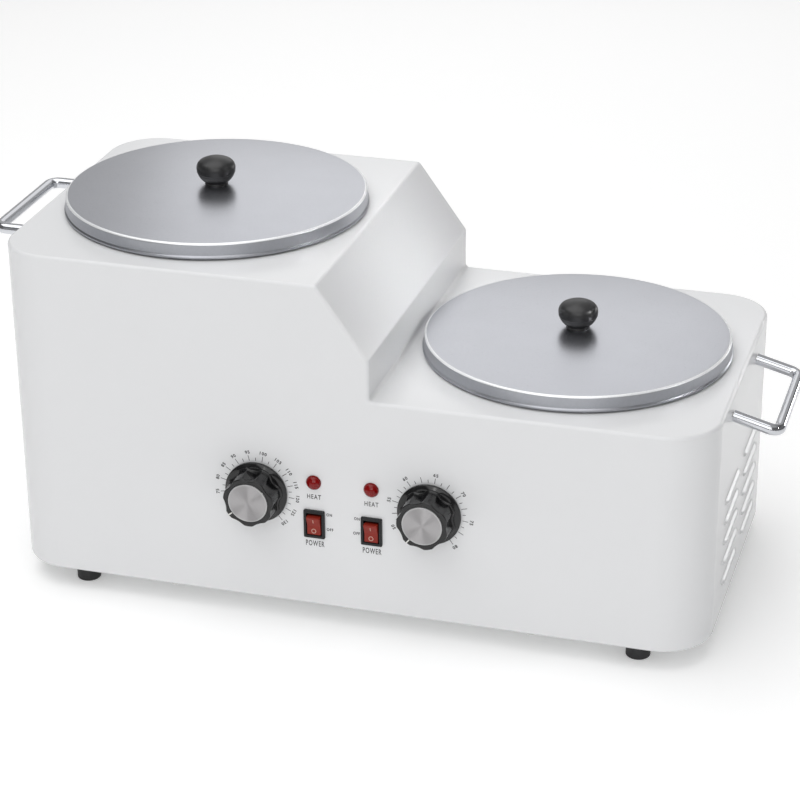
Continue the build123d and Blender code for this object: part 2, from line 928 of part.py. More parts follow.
def make_cutouts():
    """Thermal cut-outs: discs with an eared plate, bolted under the wells."""
    with BuildPart() as cutouts:
        for half in halves:
            with BuildSketch(Plane((half.x, casing_y + cutout_offset, well_floor))):
                SlotCenterToCenter(2 * cutout_ear, cutout_plate_width, rotation=90)
                with Locations((0, -cutout_ear), (0, cutout_ear)):
                    Circle(m3_shank + hole_clearance, mode=Mode.SUBTRACT)
            extrude(amount=-cutout_plate_sheet)
            with BuildSketch(Plane((half.x, casing_y + cutout_offset, well_floor))):
                Circle(cutout_radius)
            extrude(amount=-cutout_height)
            for x in (-cutout_tab_offset, cutout_tab_offset):
                with Locations(
                    (half.x + x, casing_y + cutout_offset, well_floor - cutout_height)
                ):
                    Box(
                        cutout_tab_sheet,
                        cutout_tab_width,
                        cutout_tab,
                        align=(Align.CENTER, Align.CENTER, Align.MAX),
                    )
    cutouts.part.label = "thermal_cutouts"
    export_step(cutouts.part, "parts/thermal_cutouts.step")

    with BuildPart() as nuts:
        with BuildSketch(Plane.XY.offset(well_floor - cutout_plate_sheet)):
            with Locations(
                *[
                    (half.x, casing_y + cutout_offset + side * cutout_ear)
                    for half in halves
                    for side in (-1, 1)
                ]
            ):
                RegularPolygon(m3_nut_flats / 2, 6, major_radius=False)
                Circle(m3_shank + screw_fit, mode=Mode.SUBTRACT)
        extrude(amount=-m3_nut_height)
    nuts.part.label = "cutout_nuts"
    export_step(nuts.part, "parts/cutout_nuts.step")


# Pots and lids


def make_pot(half):
    """Lift-out wax pot: a spun pan that hangs by its shoulder on the well's flange."""
    shoulder = half.flange_top + seat_gap
    floor = well_floor + well_wall + pot_floor_gap
    rim_radius_out = pot_shoulder_radius + pot_bead
    rim = half.top + lid_height_at(rim_radius_out) - lid_wall - seat_gap
    inner = pot_radius - pot_wall
    collar = pot_shoulder_radius - pot_wall
    with BuildPart() as pot:
        with BuildSketch(upright(half.x, casing_y)):
            make_face(
                outline(
                    (0, floor),
                    (pot_radius, floor, pot_corner),
                    (pot_radius, shoulder, pot_fine_round),
                    (pot_shoulder_radius, shoulder, pot_step_round),
                    (pot_shoulder_radius, rim - pot_bead_height),
                    (rim_radius_out, rim - pot_bead_height, pot_lip_round),
                    (rim_radius_out, rim, pot_bead_round),
                    (collar, rim, pot_lip_round),
                    (collar, shoulder + pot_wall, pot_fine_round),
                    (inner, shoulder + pot_wall, pot_step_round),
                    (inner, floor + pot_wall, pot_corner - pot_wall),
                    (0, floor + pot_wall),
                )
            )
        revolve(axis=Axis((half.x, casing_y, 0), (0, 0, 1)))
    pot.part.label = f"{half.name}_pot"
    export_step(pot.part, f"parts/{half.name}_pot.step")


def make_lid(half):
    """Lid: a domed disc with a deep skirt and a rolled lip."""
    hole = lid_screw_radius + hole_clearance
    edge = lid_radius
    lip = edge + lid_taper
    inner = edge - lid_wall
    middle = edge / 2
    under = lid_height_at(inner) - lid_wall
    with BuildPart() as lid:
        with BuildSketch(upright(half.x, casing_y, half.top)) as section:
            with BuildLine():
                ThreePointArc(
                    (hole, lid_height_at(hole)),
                    (middle, lid_height_at(middle)),
                    (edge, lid_height_at(edge)),
                )
                Polyline(
                    (edge, lid_height_at(edge)),
                    (lip, lid_lift + lid_lip),
                    (lip + lid_lip - lid_taper, lid_lift + lid_lip_slope),
                    (lip + lid_lip - lid_taper, lid_lift),
                    (lip - lid_wall, lid_lift),
                    (inner, under),
                )
                ThreePointArc(
                    (inner, under),
                    (middle, lid_height_at(middle) - lid_wall),
                    (hole, lid_height_at(hole) - lid_wall),
                )
                Line((hole, lid_height_at(hole) - lid_wall), (hole, lid_height_at(hole)))
            make_face()
            corners = section.vertices().filter_by(
                lambda corner: abs(corner.X - edge) < edge_margin and corner.Y > lid_edge_height / 2
            )
            fillet(corners, lid_edge_round)
        revolve(axis=Axis((half.x, casing_y, 0), (0, 0, 1)))
    lid.part.label = f"{half.name}_lid"
    export_step(lid.part, f"parts/{half.name}_lid.step")


def make_lid_knob(half):
    """Lid knob: a flattened ball on a short neck, with a threaded insert."""
    base = half.top + lid_height_at(lid_screw_radius + hole_clearance)
    belly_x = lid_knob_radius - lid_knob_belly
    neck_z = lid_knob_middle - math.sqrt(lid_knob_belly**2 - (lid_knob_neck - belly_x) ** 2)
    slant = lid_knob_belly * math.sqrt(0.5)
    with BuildPart() as knob:
        with BuildSketch(upright(half.x, casing_y, base)):
            with BuildLine():
                ThreePointArc(
                    (lid_knob_neck, neck_z),
                    (belly_x + slant, lid_knob_middle - slant),
                    (lid_knob_radius, lid_knob_middle),
                )
                add_dome(
                    lid_knob_radius,
                    lid_knob_middle,
                    lid_knob_height - lid_knob_middle,
                    lid_knob_shoulder,
                )
                Polyline(
                    (0, lid_knob_height),
                    (0, 0),
                    (lid_knob_neck + lid_knob_flare, 0),
                    (lid_knob_neck, neck_z),
                )
            make_face()
        revolve(axis=Axis((half.x, casing_y, 0), (0, 0, 1)))
        with Locations((half.x, casing_y, base)):
            Cylinder(
                lid_screw_radius + screw_fit,
                lid_screw_length,
                align=(Align.CENTER, Align.CENTER, Align.MIN),
                mode=Mode.SUBTRACT,
            )
    knob.part.label = f"{half.name}_lid_knob"
    export_step(knob.part, f"parts/{half.name}_lid_knob.step")


def make_lid_screw(half):
    """Flanged screw from under the lid into its knob."""
    under = half.top + lid_height_at(lid_screw_flange) - lid_wall
    with BuildPart() as screw:
        with Locations((half.x, casing_y, under)):
            Cylinder(lid_screw_flange, lid_screw_flange_height, align=(Align.CENTER, Align.CENTER, Align.MAX))
            Cylinder(lid_screw_head, lid_screw_head_height, align=(Align.CENTER, Align.CENTER, Align.MAX))
            Cylinder(
                lid_screw_radius,
                lid_screw_length,
                align=(Align.CENTER, Align.CENTER, Align.MIN),
            )
    screw.part.label = f"{half.name}_lid_screw"
    export_step(screw.part, f"parts/{half.name}_lid_screw.step")


# Controls


def make_thermostat(half):
    """Thermostat: a switch block with a bush through the panel and two tabs behind."""
    screws = ((-thermostat_screw_offset, 0), (thermostat_screw_offset, 0))
    with BuildPart() as thermostat:
        with BuildSketch(upright(half.knob_x, front_y + sheet, knob_z)):
            RectangleRounded(thermostat_width, thermostat_height, thermostat_corner)
        extrude(amount=-thermostat_depth)
        with BuildSketch(upright(half.knob_x, front_y + sheet, knob_z)):
            Circle(bush_radius)
        extrude(amount=sheet + bush_proud)
        with BuildSketch(upright(half.knob_x, front_y - bush_proud, knob_z)):
            Circle(spindle_radius + running_fit)
        extrude(amount=-(bush_proud + sheet + spindle_inside + cut_margin), mode=Mode.SUBTRACT)
        with BuildSketch(upright(half.knob_x, front_y + sheet, knob_z)):
            with Locations(*screws):
                Circle(m4_shank + screw_fit)
        extrude(amount=-thermostat_hole_depth, mode=Mode.SUBTRACT)
        for x in (-tab_offset, tab_offset):
            with Locations((half.knob_x + x, tab_y, knob_z - thermostat_height / 2)):
                Box(tab_width, tab_sheet, tab_length, align=(Align.CENTER, Align.CENTER, Align.MAX))
    thermostat.part.label = f"{half.name}_thermostat"
    export_step(thermostat.part, f"parts/{half.name}_thermostat.step")


def make_thermostat_screws():
    """Screws from the front of the panel, hidden under the knobs' skirts."""
    with BuildPart() as screws:
        for half in halves:
            spots = [
                (half.knob_x - thermostat_screw_offset, knob_z),
                (half.knob_x + thermostat_screw_offset, knob_z),
            ]
            with BuildSketch(upright(0, front_y)):
                with Locations(*spots):
                    Circle(m4_head)
            extrude(amount=m4_head_height)
            with BuildSketch(upright(0, front_y)):
                with Locations(*spots):
                    Circle(m4_shank)
            extrude(amount=-sheet - thermostat_screw_reach)
    screws.part.label = "thermostat_screws"
    export_step(screws.part, "parts/thermostat_screws.step")


def make_spindle(half):
    """Thermostat spindle, with a flat where the knob sits."""
    with BuildPart() as spindle:
        with BuildSketch(upright(half.knob_x, front_y + sheet + spindle_inside, knob_z)):
            Circle(spindle_radius)
        extrude(amount=spindle_inside + sheet + spindle_proud)
        with Locations((half.knob_x, front_y - bush_proud - spindle_flat_gap, knob_z + spindle_flat)):
            Box(
                4 * spindle_radius,
                spindle_proud,
                spindle_radius,
                align=(Align.CENTER, Align.MAX, Align.MIN),
                mode=Mode.SUBTRACT,
            )
    spindle.part.label = f"{half.name}_spindle"
    export_step(spindle.part, f"parts/{half.name}_spindle.step")


def fluted_section(radius, rest_angle):
    """Section of the knob's body, with a lobe at the angle where its pointer rests."""
    scale = radius / knob_body_radius
    flute_place = scale * (knob_body_radius + knob_flute_radius - knob_flute_depth)
    with BuildSketch() as section:
        Circle(radius)
        with PolarLocations(flute_place, knob_lobes, start_angle=rest_angle + 180 / knob_lobes):
            Circle(scale * knob_flute_radius, mode=Mode.SUBTRACT)
        fillet(section.vertices(), scale * knob_lobe_round)
    return section.sketch


def make_dial_knob(half):
    """Thermostat knob: a fluted body on a round skirt, hollow behind, with a keyed hub."""
    front = knob_depth - knob_cap_proud
    skirt_inner = knob_skirt_radius - knob_wall
    body_plane = upright(half.knob_x, front_y - knob_body_start + knob_overlap, knob_z)
    with BuildPart() as knob:
        with BuildSketch(body_plane):
            add(fluted_section(knob_body_radius, half.rest_angle))
        with BuildSketch(body_plane.offset(front - knob_body_start + knob_overlap)):
            add(fluted_section(knob_front_radius, half.rest_angle))
        loft()
        front_face = knob.faces().sort_by(Axis.Y)[0]
        fillet(front_face.edges(), knob_edge_round)
        with BuildSketch(out_of_panel(half.knob_x, knob_z)):
            make_face(
                outline(
                    (knob_hub_radius, knob_gap),
                    (knob_skirt_radius, knob_gap),
                    (knob_skirt_radius, knob_gap + knob_skirt_rim, knob_edge_round),
                    (knob_body_radius, knob_body_start, knob_skirt_round),
                    (knob_hub_radius, knob_body_start),
                )
            )
        revolve(axis=Axis((half.knob_x, front_y, knob_z), (0, -1, 0)))
        with BuildSketch(out_of_panel(half.knob_x, knob_z)):
            make_face(
                outline(
                    (knob_hub_radius, 0),
                    (skirt_inner, 0),
                    (skirt_inner, knob_gap + knob_shell_step),
                    (skirt_inner - knob_shell_slope, knob_body_start - knob_shell_step),
                    (knob_front_radius - knob_flute_depth - knob_wall, knob_body_start - knob_shell_gap),
                    (knob_front_radius - knob_flute_depth - knob_wall, front - knob_front_wall),
                    (knob_hub_radius, front - knob_front_wall),
                )
            )
        revolve(axis=Axis((half.knob_x, front_y, knob_z), (0, -1, 0)), mode=Mode.SUBTRACT)
        with BuildSketch(upright(half.knob_x, front_y, knob_z)):
            Circle(knob_hub_radius + knob_bush_gap)
        extrude(amount=bush_proud + knob_bush_room, mode=Mode.SUBTRACT)
        with BuildSketch(upright(half.knob_x, front_y, knob_z)):
            Circle(spindle_radius + screw_fit)
            with Locations((0, spindle_flat + screw_fit)):
                Rectangle(
                    4 * spindle_radius,
                    2 * spindle_radius,
                    align=(Align.CENTER, Align.MIN),
                    mode=Mode.SUBTRACT,
                )
        extrude(amount=spindle_proud + knob_bore_room, mode=Mode.SUBTRACT)
        with BuildSketch(upright(half.knob_x, front_y - front, knob_z)):
            Circle(knob_cap_radius + screw_fit)
        extrude(amount=-(knob_cap_thickness - knob_cap_proud), mode=Mode.SUBTRACT)
    knob.part.label = f"{half.name}_dial_knob"
    export_step(knob.part, f"parts/{half.name}_dial_knob.step")


def make_dial_cap(half):
    """Spun aluminium disc in the front of the thermostat knob."""
    with BuildPart() as cap:
        with BuildSketch(upright(half.knob_x, front_y - knob_depth, knob_z)):
            Circle(knob_cap_radius)
        extrude(amount=-knob_cap_thickness)
        fillet(cap.edges().group_by(Axis.Y)[0], knob_cap_round)
    cap.part.label = f"{half.name}_dial_cap"
    export_step(cap.part, f"parts/{half.name}_dial_cap.step")


def make_switch(half):
    """Rocker switch housing: a bezel on the panel, a body behind and two tabs."""
    x = panel_x + half.side * lamp_offset
    pivot_y = front_y + rocker_pivot_depth
    with BuildPart() as switch:
        with BuildSketch(upright(x, front_y, switch_z)):
            RectangleRounded(switch_width, switch_tall, switch_corner)
        extrude(amount=switch_proud)
        fillet(switch.faces().sort_by(Axis.Y)[0].edges(), switch_edge_round)
        with BuildSketch(upright(x, front_y, switch_z)):
            Rectangle(switch_body_width, switch_body_tall)
        extrude(amount=-switch_body_depth)
        with BuildSketch(upright(x, front_y - switch_proud, switch_z)):
            Rectangle(switch_cavity_width, switch_cavity_tall)
        extrude(amount=-switch_proud - switch_cavity_depth, mode=Mode.SUBTRACT)
        with Locations((x, pivot_y, switch_z)):
            Cylinder(
                rocker_pivot_radius + running_fit,
                switch_body_width - pivot_hole_inset,
                rotation=(0, 90, 0),
                mode=Mode.SUBTRACT,
            )
        for height in (-switch_tab_offset, switch_tab_offset):
            with Locations((x, front_y + switch_body_depth, switch_z + height)):
                Box(
                    switch_tab_width,
                    switch_tab,
                    switch_tab_sheet,
                    align=(Align.CENTER, Align.MIN, Align.CENTER),
                )
    switch.part.label = f"{half.name}_switch"
    export_step(switch.part, f"parts/{half.name}_switch.step")


def make_rocker(half):
    """Rocker: a shallow V across its pivot pins, at rest with its top pressed in."""
    x = panel_x + half.side * lamp_offset
    pivot = (x, front_y + rocker_pivot_depth, switch_z)
    tilt = math.radians(rocker_tilt)
    plane = Plane(pivot, x_dir=(0, -math.cos(tilt), math.sin(tilt)), z_dir=(-1, 0, 0))
    end = rocker_end_proud + rocker_pivot_depth
    middle = rocker_middle_proud + rocker_pivot_depth
    side_height = rocker_half_height + rocker_side_flare
    with BuildPart() as rocker:
        with BuildSketch(plane):
            make_face(
                outline(
                    (middle, 0, rocker_hollow_round),
                    (end, rocker_half_height, rocker_edge_round),
                    (rocker_side_depth, side_height),
                    (-rocker_waist_depth, rocker_waist, rocker_inner_round),
                    (-rocker_foot_depth, rocker_foot, rocker_inner_round),
                    (-rocker_foot_depth, -rocker_foot, rocker_inner_round),
                    (-rocker_waist_depth, -rocker_waist, rocker_inner_round),
                    (rocker_side_depth, -side_height),
                    (end, -rocker_half_height, rocker_edge_round),
                )
            )
        extrude(amount=switch_cavity_width / 2 - rocker_side_gap, both=True)
        with Locations(pivot):
            Cylinder(rocker_pivot_radius, switch_body_width - pivot_pin_inset, rotation=(0, 90, 0))
    rocker.part.label = f"{half.name}_rocker"
    export_step(rocker.part, f"parts/{half.name}_rocker.step")


def make_lamp_lens(half):
    """Pilot lamp lens: a red dome with a thin flange and a stem."""
    x = panel_x + half.side * lamp_offset
    flange = lens_radius + lens_flange
    with BuildPart() as lens:
        with BuildSketch(out_of_panel(x, lamp_z)):
            with BuildLine():
                add_dome(
                    lens_radius,
                    lens_flange_height,
                    lens_height - lens_flange_height,
                    lens_shoulder,
                )
                Polyline(
                    (0, lens_height),
                    (0, -lens_stem_length),
                    (lens_stem_radius, -lens_stem_length),
                    (lens_stem_radius, 0),
                    (flange, 0),
                    (flange, lens_flange_height),
                    (lens_radius, lens_flange_height),
                )
            make_face()
        revolve(axis=Axis((x, front_y, lamp_z), (0, -1, 0)))
    lens.part.label = f"{half.name}_lamp_lens"
    export_step(lens.part, f"parts/{half.name}_lamp_lens.step")


def make_lamp_bodies():
    """Lamp holders that push on to the lens stems behind the panel."""
    with BuildPart() as bodies:
        for half in halves:
            x = panel_x + half.side * lamp_offset
            with BuildSketch(upright(x, front_y + sheet, lamp_z)):
                Circle(lamp_collar_radius)
            extrude(amount=-lamp_collar_length)
            with BuildSketch(upright(x, front_y + sheet, lamp_z)):
                Circle(lamp_body_radius)
            extrude(amount=-lamp_body_length)
            with BuildSketch(upright(x, front_y + sheet, lamp_z)):
                Circle(lens_stem_radius + screw_fit)
            extrude(amount=-lens_stem_length, mode=Mode.SUBTRACT)
    bodies.part.label = "lamp_bodies"
    export_step(bodies.part, "parts/lamp_bodies.step")


# Mains side


def inlet_plane(depth=0.0):
    """Plane on the back wall, facing outward, whose own y runs up."""
    return Plane((0, back_y + depth, inlet_z), x_dir=(-1, 0, 0), z_dir=(0, 1, 0))


pin_points = ((-pin_offset, -pin_drop), (0, pin_drop), (pin_offset, -pin_drop))


def make_inlet():
    """Mains inlet: a flanged socket body through the back wall."""
    half_width, half_tall = inlet_socket_width / 2, inlet_socket_tall / 2
    screws = ((-inlet_screw_offset, 0), (inlet_screw_offset, 0))
    with BuildPart() as inlet:
        with BuildSketch(inlet_plane()):
            RectangleRounded(inlet_width, inlet_tall, inlet_corner)
        extrude(amount=inlet_proud)
        fillet(inlet.faces().sort_by(Axis.Y)[-1].edges(), inlet_edge_round)
        with BuildSketch(inlet_plane()):
            Rectangle(inlet_body_width, inlet_body_tall)
        extrude(amount=-inlet_body_depth)
        with BuildSketch(inlet_plane(inlet_proud)):
            make_face(
                outline(
                    (-half_width, -half_tall, inlet_socket_round),
                    (half_width, -half_tall, inlet_socket_round),
                    (half_width, half_tall - inlet_socket_cut, inlet_socket_round),
                    (half_width - inlet_socket_cut, half_tall, inlet_socket_round),
                    (-half_width + inlet_socket_cut, half_tall, inlet_socket_round),
                    (-half_width, half_tall - inlet_socket_cut, inlet_socket_round),
                )
            )
        extrude(amount=-inlet_socket_depth, mode=Mode.SUBTRACT)
        with BuildSketch(inlet_plane(inlet_proud)):
            with Locations(*pin_points):
                Rectangle(pin_width + 2 * screw_fit, pin_tall + 2 * screw_fit)
            with Locations(*screws):
                Circle(m3_shank + hole_clearance)
        extrude(amount=-inlet_body_depth - inlet_proud, mode=Mode.SUBTRACT)
        with BuildSketch(inlet_plane(inlet_proud)):
            with Locations(*screws):
                Circle(m3_head + hole_clearance)
        extrude(amount=-inlet_head_height, mode=Mode.SUBTRACT)
    inlet.part.label = "power_inlet"
    export_step(inlet.part, "parts/power_inlet.step")


def make_inlet_pins():
    """The inlet's three pins, which run through to solder tabs inside."""
    floor = inlet_proud - inlet_socket_depth
    with BuildPart() as pins:
        with BuildSketch(inlet_plane(floor + pin_reach)):
            with Locations(*pin_points):
                Rectangle(pin_width, pin_tall)
        extrude(amount=-(floor + pin_reach + inlet_body_depth + pin_tab))
    pins.part.label = "inlet_pins"
    export_step(pins.part, "parts/inlet_pins.step")


def make_inlet_screws():
    """Screws and nuts that hold the inlet to the back wall."""
    screws_at = ((-inlet_screw_offset, 0), (inlet_screw_offset, 0))
    head_seat = inlet_proud - inlet_head_height
    with BuildPart() as screws:
        with BuildSketch(inlet_plane(head_seat)):
            with Locations(*screws_at):
                Circle(m3_head)
        extrude(amount=inlet_head_height)
        with BuildSketch(inlet_plane(head_seat)):
            with Locations(*screws_at):
                Circle(m3_shank)
        extrude(amount=-(head_seat + sheet + m3_nut_height + screw_end))
        with BuildSketch(inlet_plane(-sheet)):
            with Locations(*screws_at):
                RegularPolygon(m3_nut_flats / 2, 6, major_radius=False)
                Circle(m3_shank + screw_fit, mode=Mode.SUBTRACT)
        extrude(amount=-m3_nut_height)
    screws.part.label = "inlet_screws"
    export_step(screws.part, "parts/inlet_screws.step")


def make_terminal_block():
    """Terminal block on the base plate, where the supply is shared out."""
    with BuildPart() as block:
        with BuildSketch(Plane((0, casing_y + block_from_middle, casing_z))):
            RectangleRounded(block_width, block_depth, block_corner)
        extrude(amount=block_tall)
        with BuildSketch(Plane((0, casing_y + block_from_middle, casing_z + block_tall))):
            with GridLocations(block_pitch, block_row, 4, 2):
                Circle(block_hole)
        extrude(amount=-block_hole_depth, mode=Mode.SUBTRACT)
    block.part.label = "terminal_block"
    export_step(block.part, "parts/terminal_block.step")


def make_earth_stud():
    """Earth stud welded to the base plate, with its nut."""
    plane = Plane((earth_stud_x, casing_y + earth_stud_y, casing_z))
    with BuildPart() as stud:
        with BuildSketch(plane):
            Circle(m4_shank)
        extrude(amount=earth_stud_length)
        with BuildSketch(plane):
            Circle(earth_collar_radius)
        extrude(amount=earth_tag_height)
        with BuildSketch(plane.offset(earth_tag_height)):
            Circle(earth_tag_radius)
            with Locations((-earth_tag_length, 0)):
                Rectangle(earth_tag_length, earth_tag_width, align=(Align.MIN, Align.CENTER))
        extrude(amount=earth_tag_sheet)
        with BuildSketch(plane.offset(earth_tag_height + earth_tag_sheet)):
            RegularPolygon(m4_nut_flats / 2, 6, major_radius=False)
            Circle(m4_shank + screw_fit, mode=Mode.SUBTRACT)
        extrude(amount=m4_nut_height)
    stud.part.label = "earth_stud"
    export_step(stud.part, "parts/earth_stud.step")


# Wiring and capillaries, all held inside the casing


def inside(x, y, z):
    """Place measured from the middle of the casing and from its underside."""
    return (x, casing_y + y, casing_z + z)


def cord(radius, *points):
    """Round cord along straight runs, with each bend as large as the runs beside it allow."""
    runs = [Vector(*end) - Vector(*start) for start, end in zip(points, points[1:])]
    bends = [
        0.45 * min(before.length, after.length)
        / math.tan(math.radians(before.get_angle(after)) / 2)
        for before, after in zip(runs, runs[1:])
    ]
    with BuildPart() as tube:
        with BuildLine():
            FilletPolyline(*points, radius=bends)
        with BuildSketch(Plane(points[0], z_dir=runs[0])):
            Circle(radius)
        sweep()
    return tube.part


def make_capillary(half):
    """Thermostat bulb beside the heater, with its capillary tube to the thermostat."""
    bulb_x, bulb_y = half.around(bulb_place, bulb_angle)
    low = well_floor + heater_above_floor
    end_x = half.knob_x - half.side * capillary_offset
    back = front_y + sheet + thermostat_depth
    side = half.side
    with BuildPart() as capillary:
        with Locations((bulb_x, bulb_y, low)):
            Cylinder(bulb_radius, bulb_length, align=(Align.CENTER, Align.CENTER, Align.MIN))
        add(
            cord(
                capillary_radius,
                (bulb_x, bulb_y, low),
                (bulb_x, bulb_y, low - capillary_drop),
                inside(side * 40, -48, 38),
                inside(side * 46, -74, 50),
                (end_x, back + capillary_run, knob_z - capillary_below),
                (end_x, back, knob_z - capillary_below),
            )
        )
    capillary.part.label = f"{half.name}_capillary"
    export_step(capillary.part, f"parts/{half.name}_capillary.step")


def make_supply_leads():
    """Live, neutral and earth from the inlet's pins to the terminal block and the stud."""
    tab_end = inlet_body_depth + pin_tab
    start_y = casing_depth / 2 - tab_end
    in_y = block_from_middle + block_row / 2
    in_z = block_tall - block_hole_depth
    with BuildPart() as leads:
        for side in (-1, 1):
            add(
                cord(
                    lead_radius,
                    inside(side * pin_offset, start_y, inlet_height - pin_drop),
                    inside(side * pin_offset, start_y - 15, inlet_height - pin_drop),
                    inside(side * 6, start_y - 33, inlet_height),
                    inside(side * block_pitch / 2, in_y, in_z + 19),
                    inside(side * block_pitch / 2, in_y, in_z),
                )
            )
        tag_x = earth_stud_x - earth_tag_length
        tag_z = earth_tag_height + earth_tag_sheet / 2
        add(
            cord(
                lead_radius,
                inside(0, start_y, inlet_height + pin_drop),
                inside(0, start_y - 13, inlet_height + pin_drop),
                inside(4, earth_stud_y - 2, inlet_height - 17),
                inside(tag_x - lead_run, earth_stud_y, tag_z),
                inside(tag_x, earth_stud_y, tag_z),
            )
        )
    leads.part.label = "supply_leads"
    export_step(leads.part, "parts/supply_leads.step")


def make_control_leads():
    """Leads from the terminal block to the switches, and from them to the thermostats."""
    out_y = block_from_middle - block_row / 2
    out_z = block_tall - block_hole_depth
    tab_end = front_y + switch_body_depth + switch_tab
    with BuildPart() as leads:
        for half in halves:
            side = half.side
            switch_x = panel_x + side * lamp_offset
            inner_tab = half.knob_x - side * tab_offset
            foot = knob_z - thermostat_height / 2 - tab_length
            add(
                cord(
                    lead_radius,
                    inside(side * block_pitch / 2, out_y, out_z),
                    inside(side * block_pitch / 2, out_y, out_z + 16),
                    inside(side * 8, 11, 31),
                    inside(side * 14, -29, 35),
                    (switch_x, tab_end + 21, switch_z - switch_tab_offset),
                    (switch_x, tab_end, switch_z - switch_tab_offset),
                )
            )
            add(
                cord(
                    lead_radius,
                    (switch_x, tab_end, switch_z + switch_tab_offset),
                    (switch_x, tab_end + 17, switch_z + switch_tab_offset - 2),
                    inside(side * 32, -71, 40),
                    inside(side * 46, -85, 18.5),
                    (inner_tab, tab_y, foot - 18.5),
                    (inner_tab, tab_y, foot),
                )
            )
    leads.part.label = "control_leads"
    export_step(leads.part, "parts/control_leads.step")


def make_heater_leads():
    """Leads from the thermostats through the cut-outs to the heaters and back to the block."""
    back_y_in = block_from_middle + block_row / 2
    out_z = block_tall - block_hole_depth
    cutout_foot = well_floor_height - cutout_height - cutout_tab
    with BuildPart() as leads:
        for half in halves:
            side = half.side
            outer_tab = half.knob_x + side * tab_offset
            foot = knob_z - thermostat_height / 2 - tab_length
            near_tab = half.x - side * cutout_tab_offset
            far_tab = half.x + side * cutout_tab_offset
            middle = well_floor + heater_above_floor + half.heater_height / 2
            low_post, high_post = middle - post_spacing / 2, middle + post_spacing / 2
            tip = half.around(heater_outer + post_length, post_angle)
            beyond = half.around(heater_outer + post_length + 12, post_angle)
            add(
                cord(
                    lead_radius,
                    (outer_tab, tab_y, foot),
                    (outer_tab, tab_y, foot - lead_run),
                    inside(side * 84, -69, 20.5),
                    inside(side * 108, -4, 14.5),
                    inside(side * 120, cutout_offset - 12, 18),
                    inside(near_tab, cutout_offset, cutout_foot - lead_run),
                    inside(near_tab, cutout_offset, cutout_foot),
                )
            )
            add(
                cord(
                    lead_radius,
                    inside(far_tab, cutout_offset, cutout_foot),
                    inside(far_tab, cutout_offset, cutout_foot - lead_run),
                    inside(side * 118, 63, 18.5),
                    inside(side * 80, 65, 22.5),
                    inside(side * 44, 54, 32),
                    (side * 19, casing_y + 36, low_post - 30),
                    (*beyond, low_post),
                    (*tip, low_post),
                )
            )
            add(
                cord(
                    lead_radius,
                    (*tip, high_post),
                    (*half.around(heater_outer + post_length + 14, post_angle), high_post),
                    (side * 14, casing_y + 44, high_post - 24),
                    inside(side * 1.5 * block_pitch, back_y_in, 46),
                    inside(side * 1.5 * block_pitch, back_y_in, out_z),
                )
            )
    leads.part.label = "heater_leads"
    export_step(leads.part, "parts/heater_leads.step")


make_casing()
make_base_plate()
make_feet()
make_foot_fasteners()
make_base_screws()
make_handle_fasteners()
make_gaskets()
make_clamp_screws()
make_brackets()
make_bracket_screws()
make_well_nuts()
make_cutouts()
make_thermostat_screws()
make_lamp_bodies()
make_inlet()
make_inlet_pins()
make_inlet_screws()
make_terminal_block()
make_earth_stud()
make_supply_leads()
make_control_leads()
make_heater_leads()
for half in halves:
    make_handle(half)
    make_well(half)
    make_heater(half)
    make_wrap(half)
    make_pot(half)
    make_lid(half)
    make_lid_knob(half)
    make_lid_screw(half)
    make_thermostat(half)
    make_spindle(half)
    make_dial_knob(half)
    make_dial_cap(half)
    make_switch(half)
    make_rocker(half)
    make_lamp_lens(half)
    make_capillary(half)
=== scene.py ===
"""Looks of the twin wax warmer.

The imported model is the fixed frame. Each piece made here takes its place from the boxes of the frame's
nodes, in metres, with +X to the right seen from the front, +Y to the back and +Z up.
"""

from __future__ import annotations

import json
import logging
import math
from collections.abc import Callable, Iterable, Sequence
from dataclasses import dataclass, replace
from enum import Enum

import bmesh
import bpy
from mathutils import Matrix, Vector

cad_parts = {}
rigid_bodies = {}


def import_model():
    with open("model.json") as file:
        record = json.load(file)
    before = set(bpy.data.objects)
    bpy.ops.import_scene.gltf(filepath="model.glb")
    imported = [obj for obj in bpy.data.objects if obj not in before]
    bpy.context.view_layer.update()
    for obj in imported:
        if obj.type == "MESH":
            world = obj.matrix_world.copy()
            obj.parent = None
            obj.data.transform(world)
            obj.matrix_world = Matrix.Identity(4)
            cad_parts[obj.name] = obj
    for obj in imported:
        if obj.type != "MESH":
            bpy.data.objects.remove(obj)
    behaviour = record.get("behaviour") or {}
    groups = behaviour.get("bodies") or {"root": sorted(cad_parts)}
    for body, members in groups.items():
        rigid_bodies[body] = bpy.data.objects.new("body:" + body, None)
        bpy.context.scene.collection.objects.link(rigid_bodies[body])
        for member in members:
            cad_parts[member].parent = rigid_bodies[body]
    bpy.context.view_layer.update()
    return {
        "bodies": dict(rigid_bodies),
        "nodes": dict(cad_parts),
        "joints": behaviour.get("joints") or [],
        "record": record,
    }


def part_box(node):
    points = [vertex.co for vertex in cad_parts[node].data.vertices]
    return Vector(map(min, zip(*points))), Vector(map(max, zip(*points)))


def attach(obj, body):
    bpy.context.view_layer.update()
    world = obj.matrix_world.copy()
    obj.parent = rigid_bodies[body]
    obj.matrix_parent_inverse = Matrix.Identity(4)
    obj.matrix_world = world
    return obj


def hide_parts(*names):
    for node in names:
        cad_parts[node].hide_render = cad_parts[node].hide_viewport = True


PHOTO_SIDE = 800
SHARP_ANGLE = math.radians(34)
SAME_PLACE = 1e-6
JOINED = 1e-8
NOISE_RANGE = (0.3, 0.7)
BROAD_DETAIL = 3.0
WAVES_PER_SCALE = 20

log = logging.getLogger("wax_warmer")

Colour = tuple[float, float, float]
Corner = tuple[float, float, float]
Point = tuple[float, float]
Ring = tuple[Callable[[float], float] | float, float]


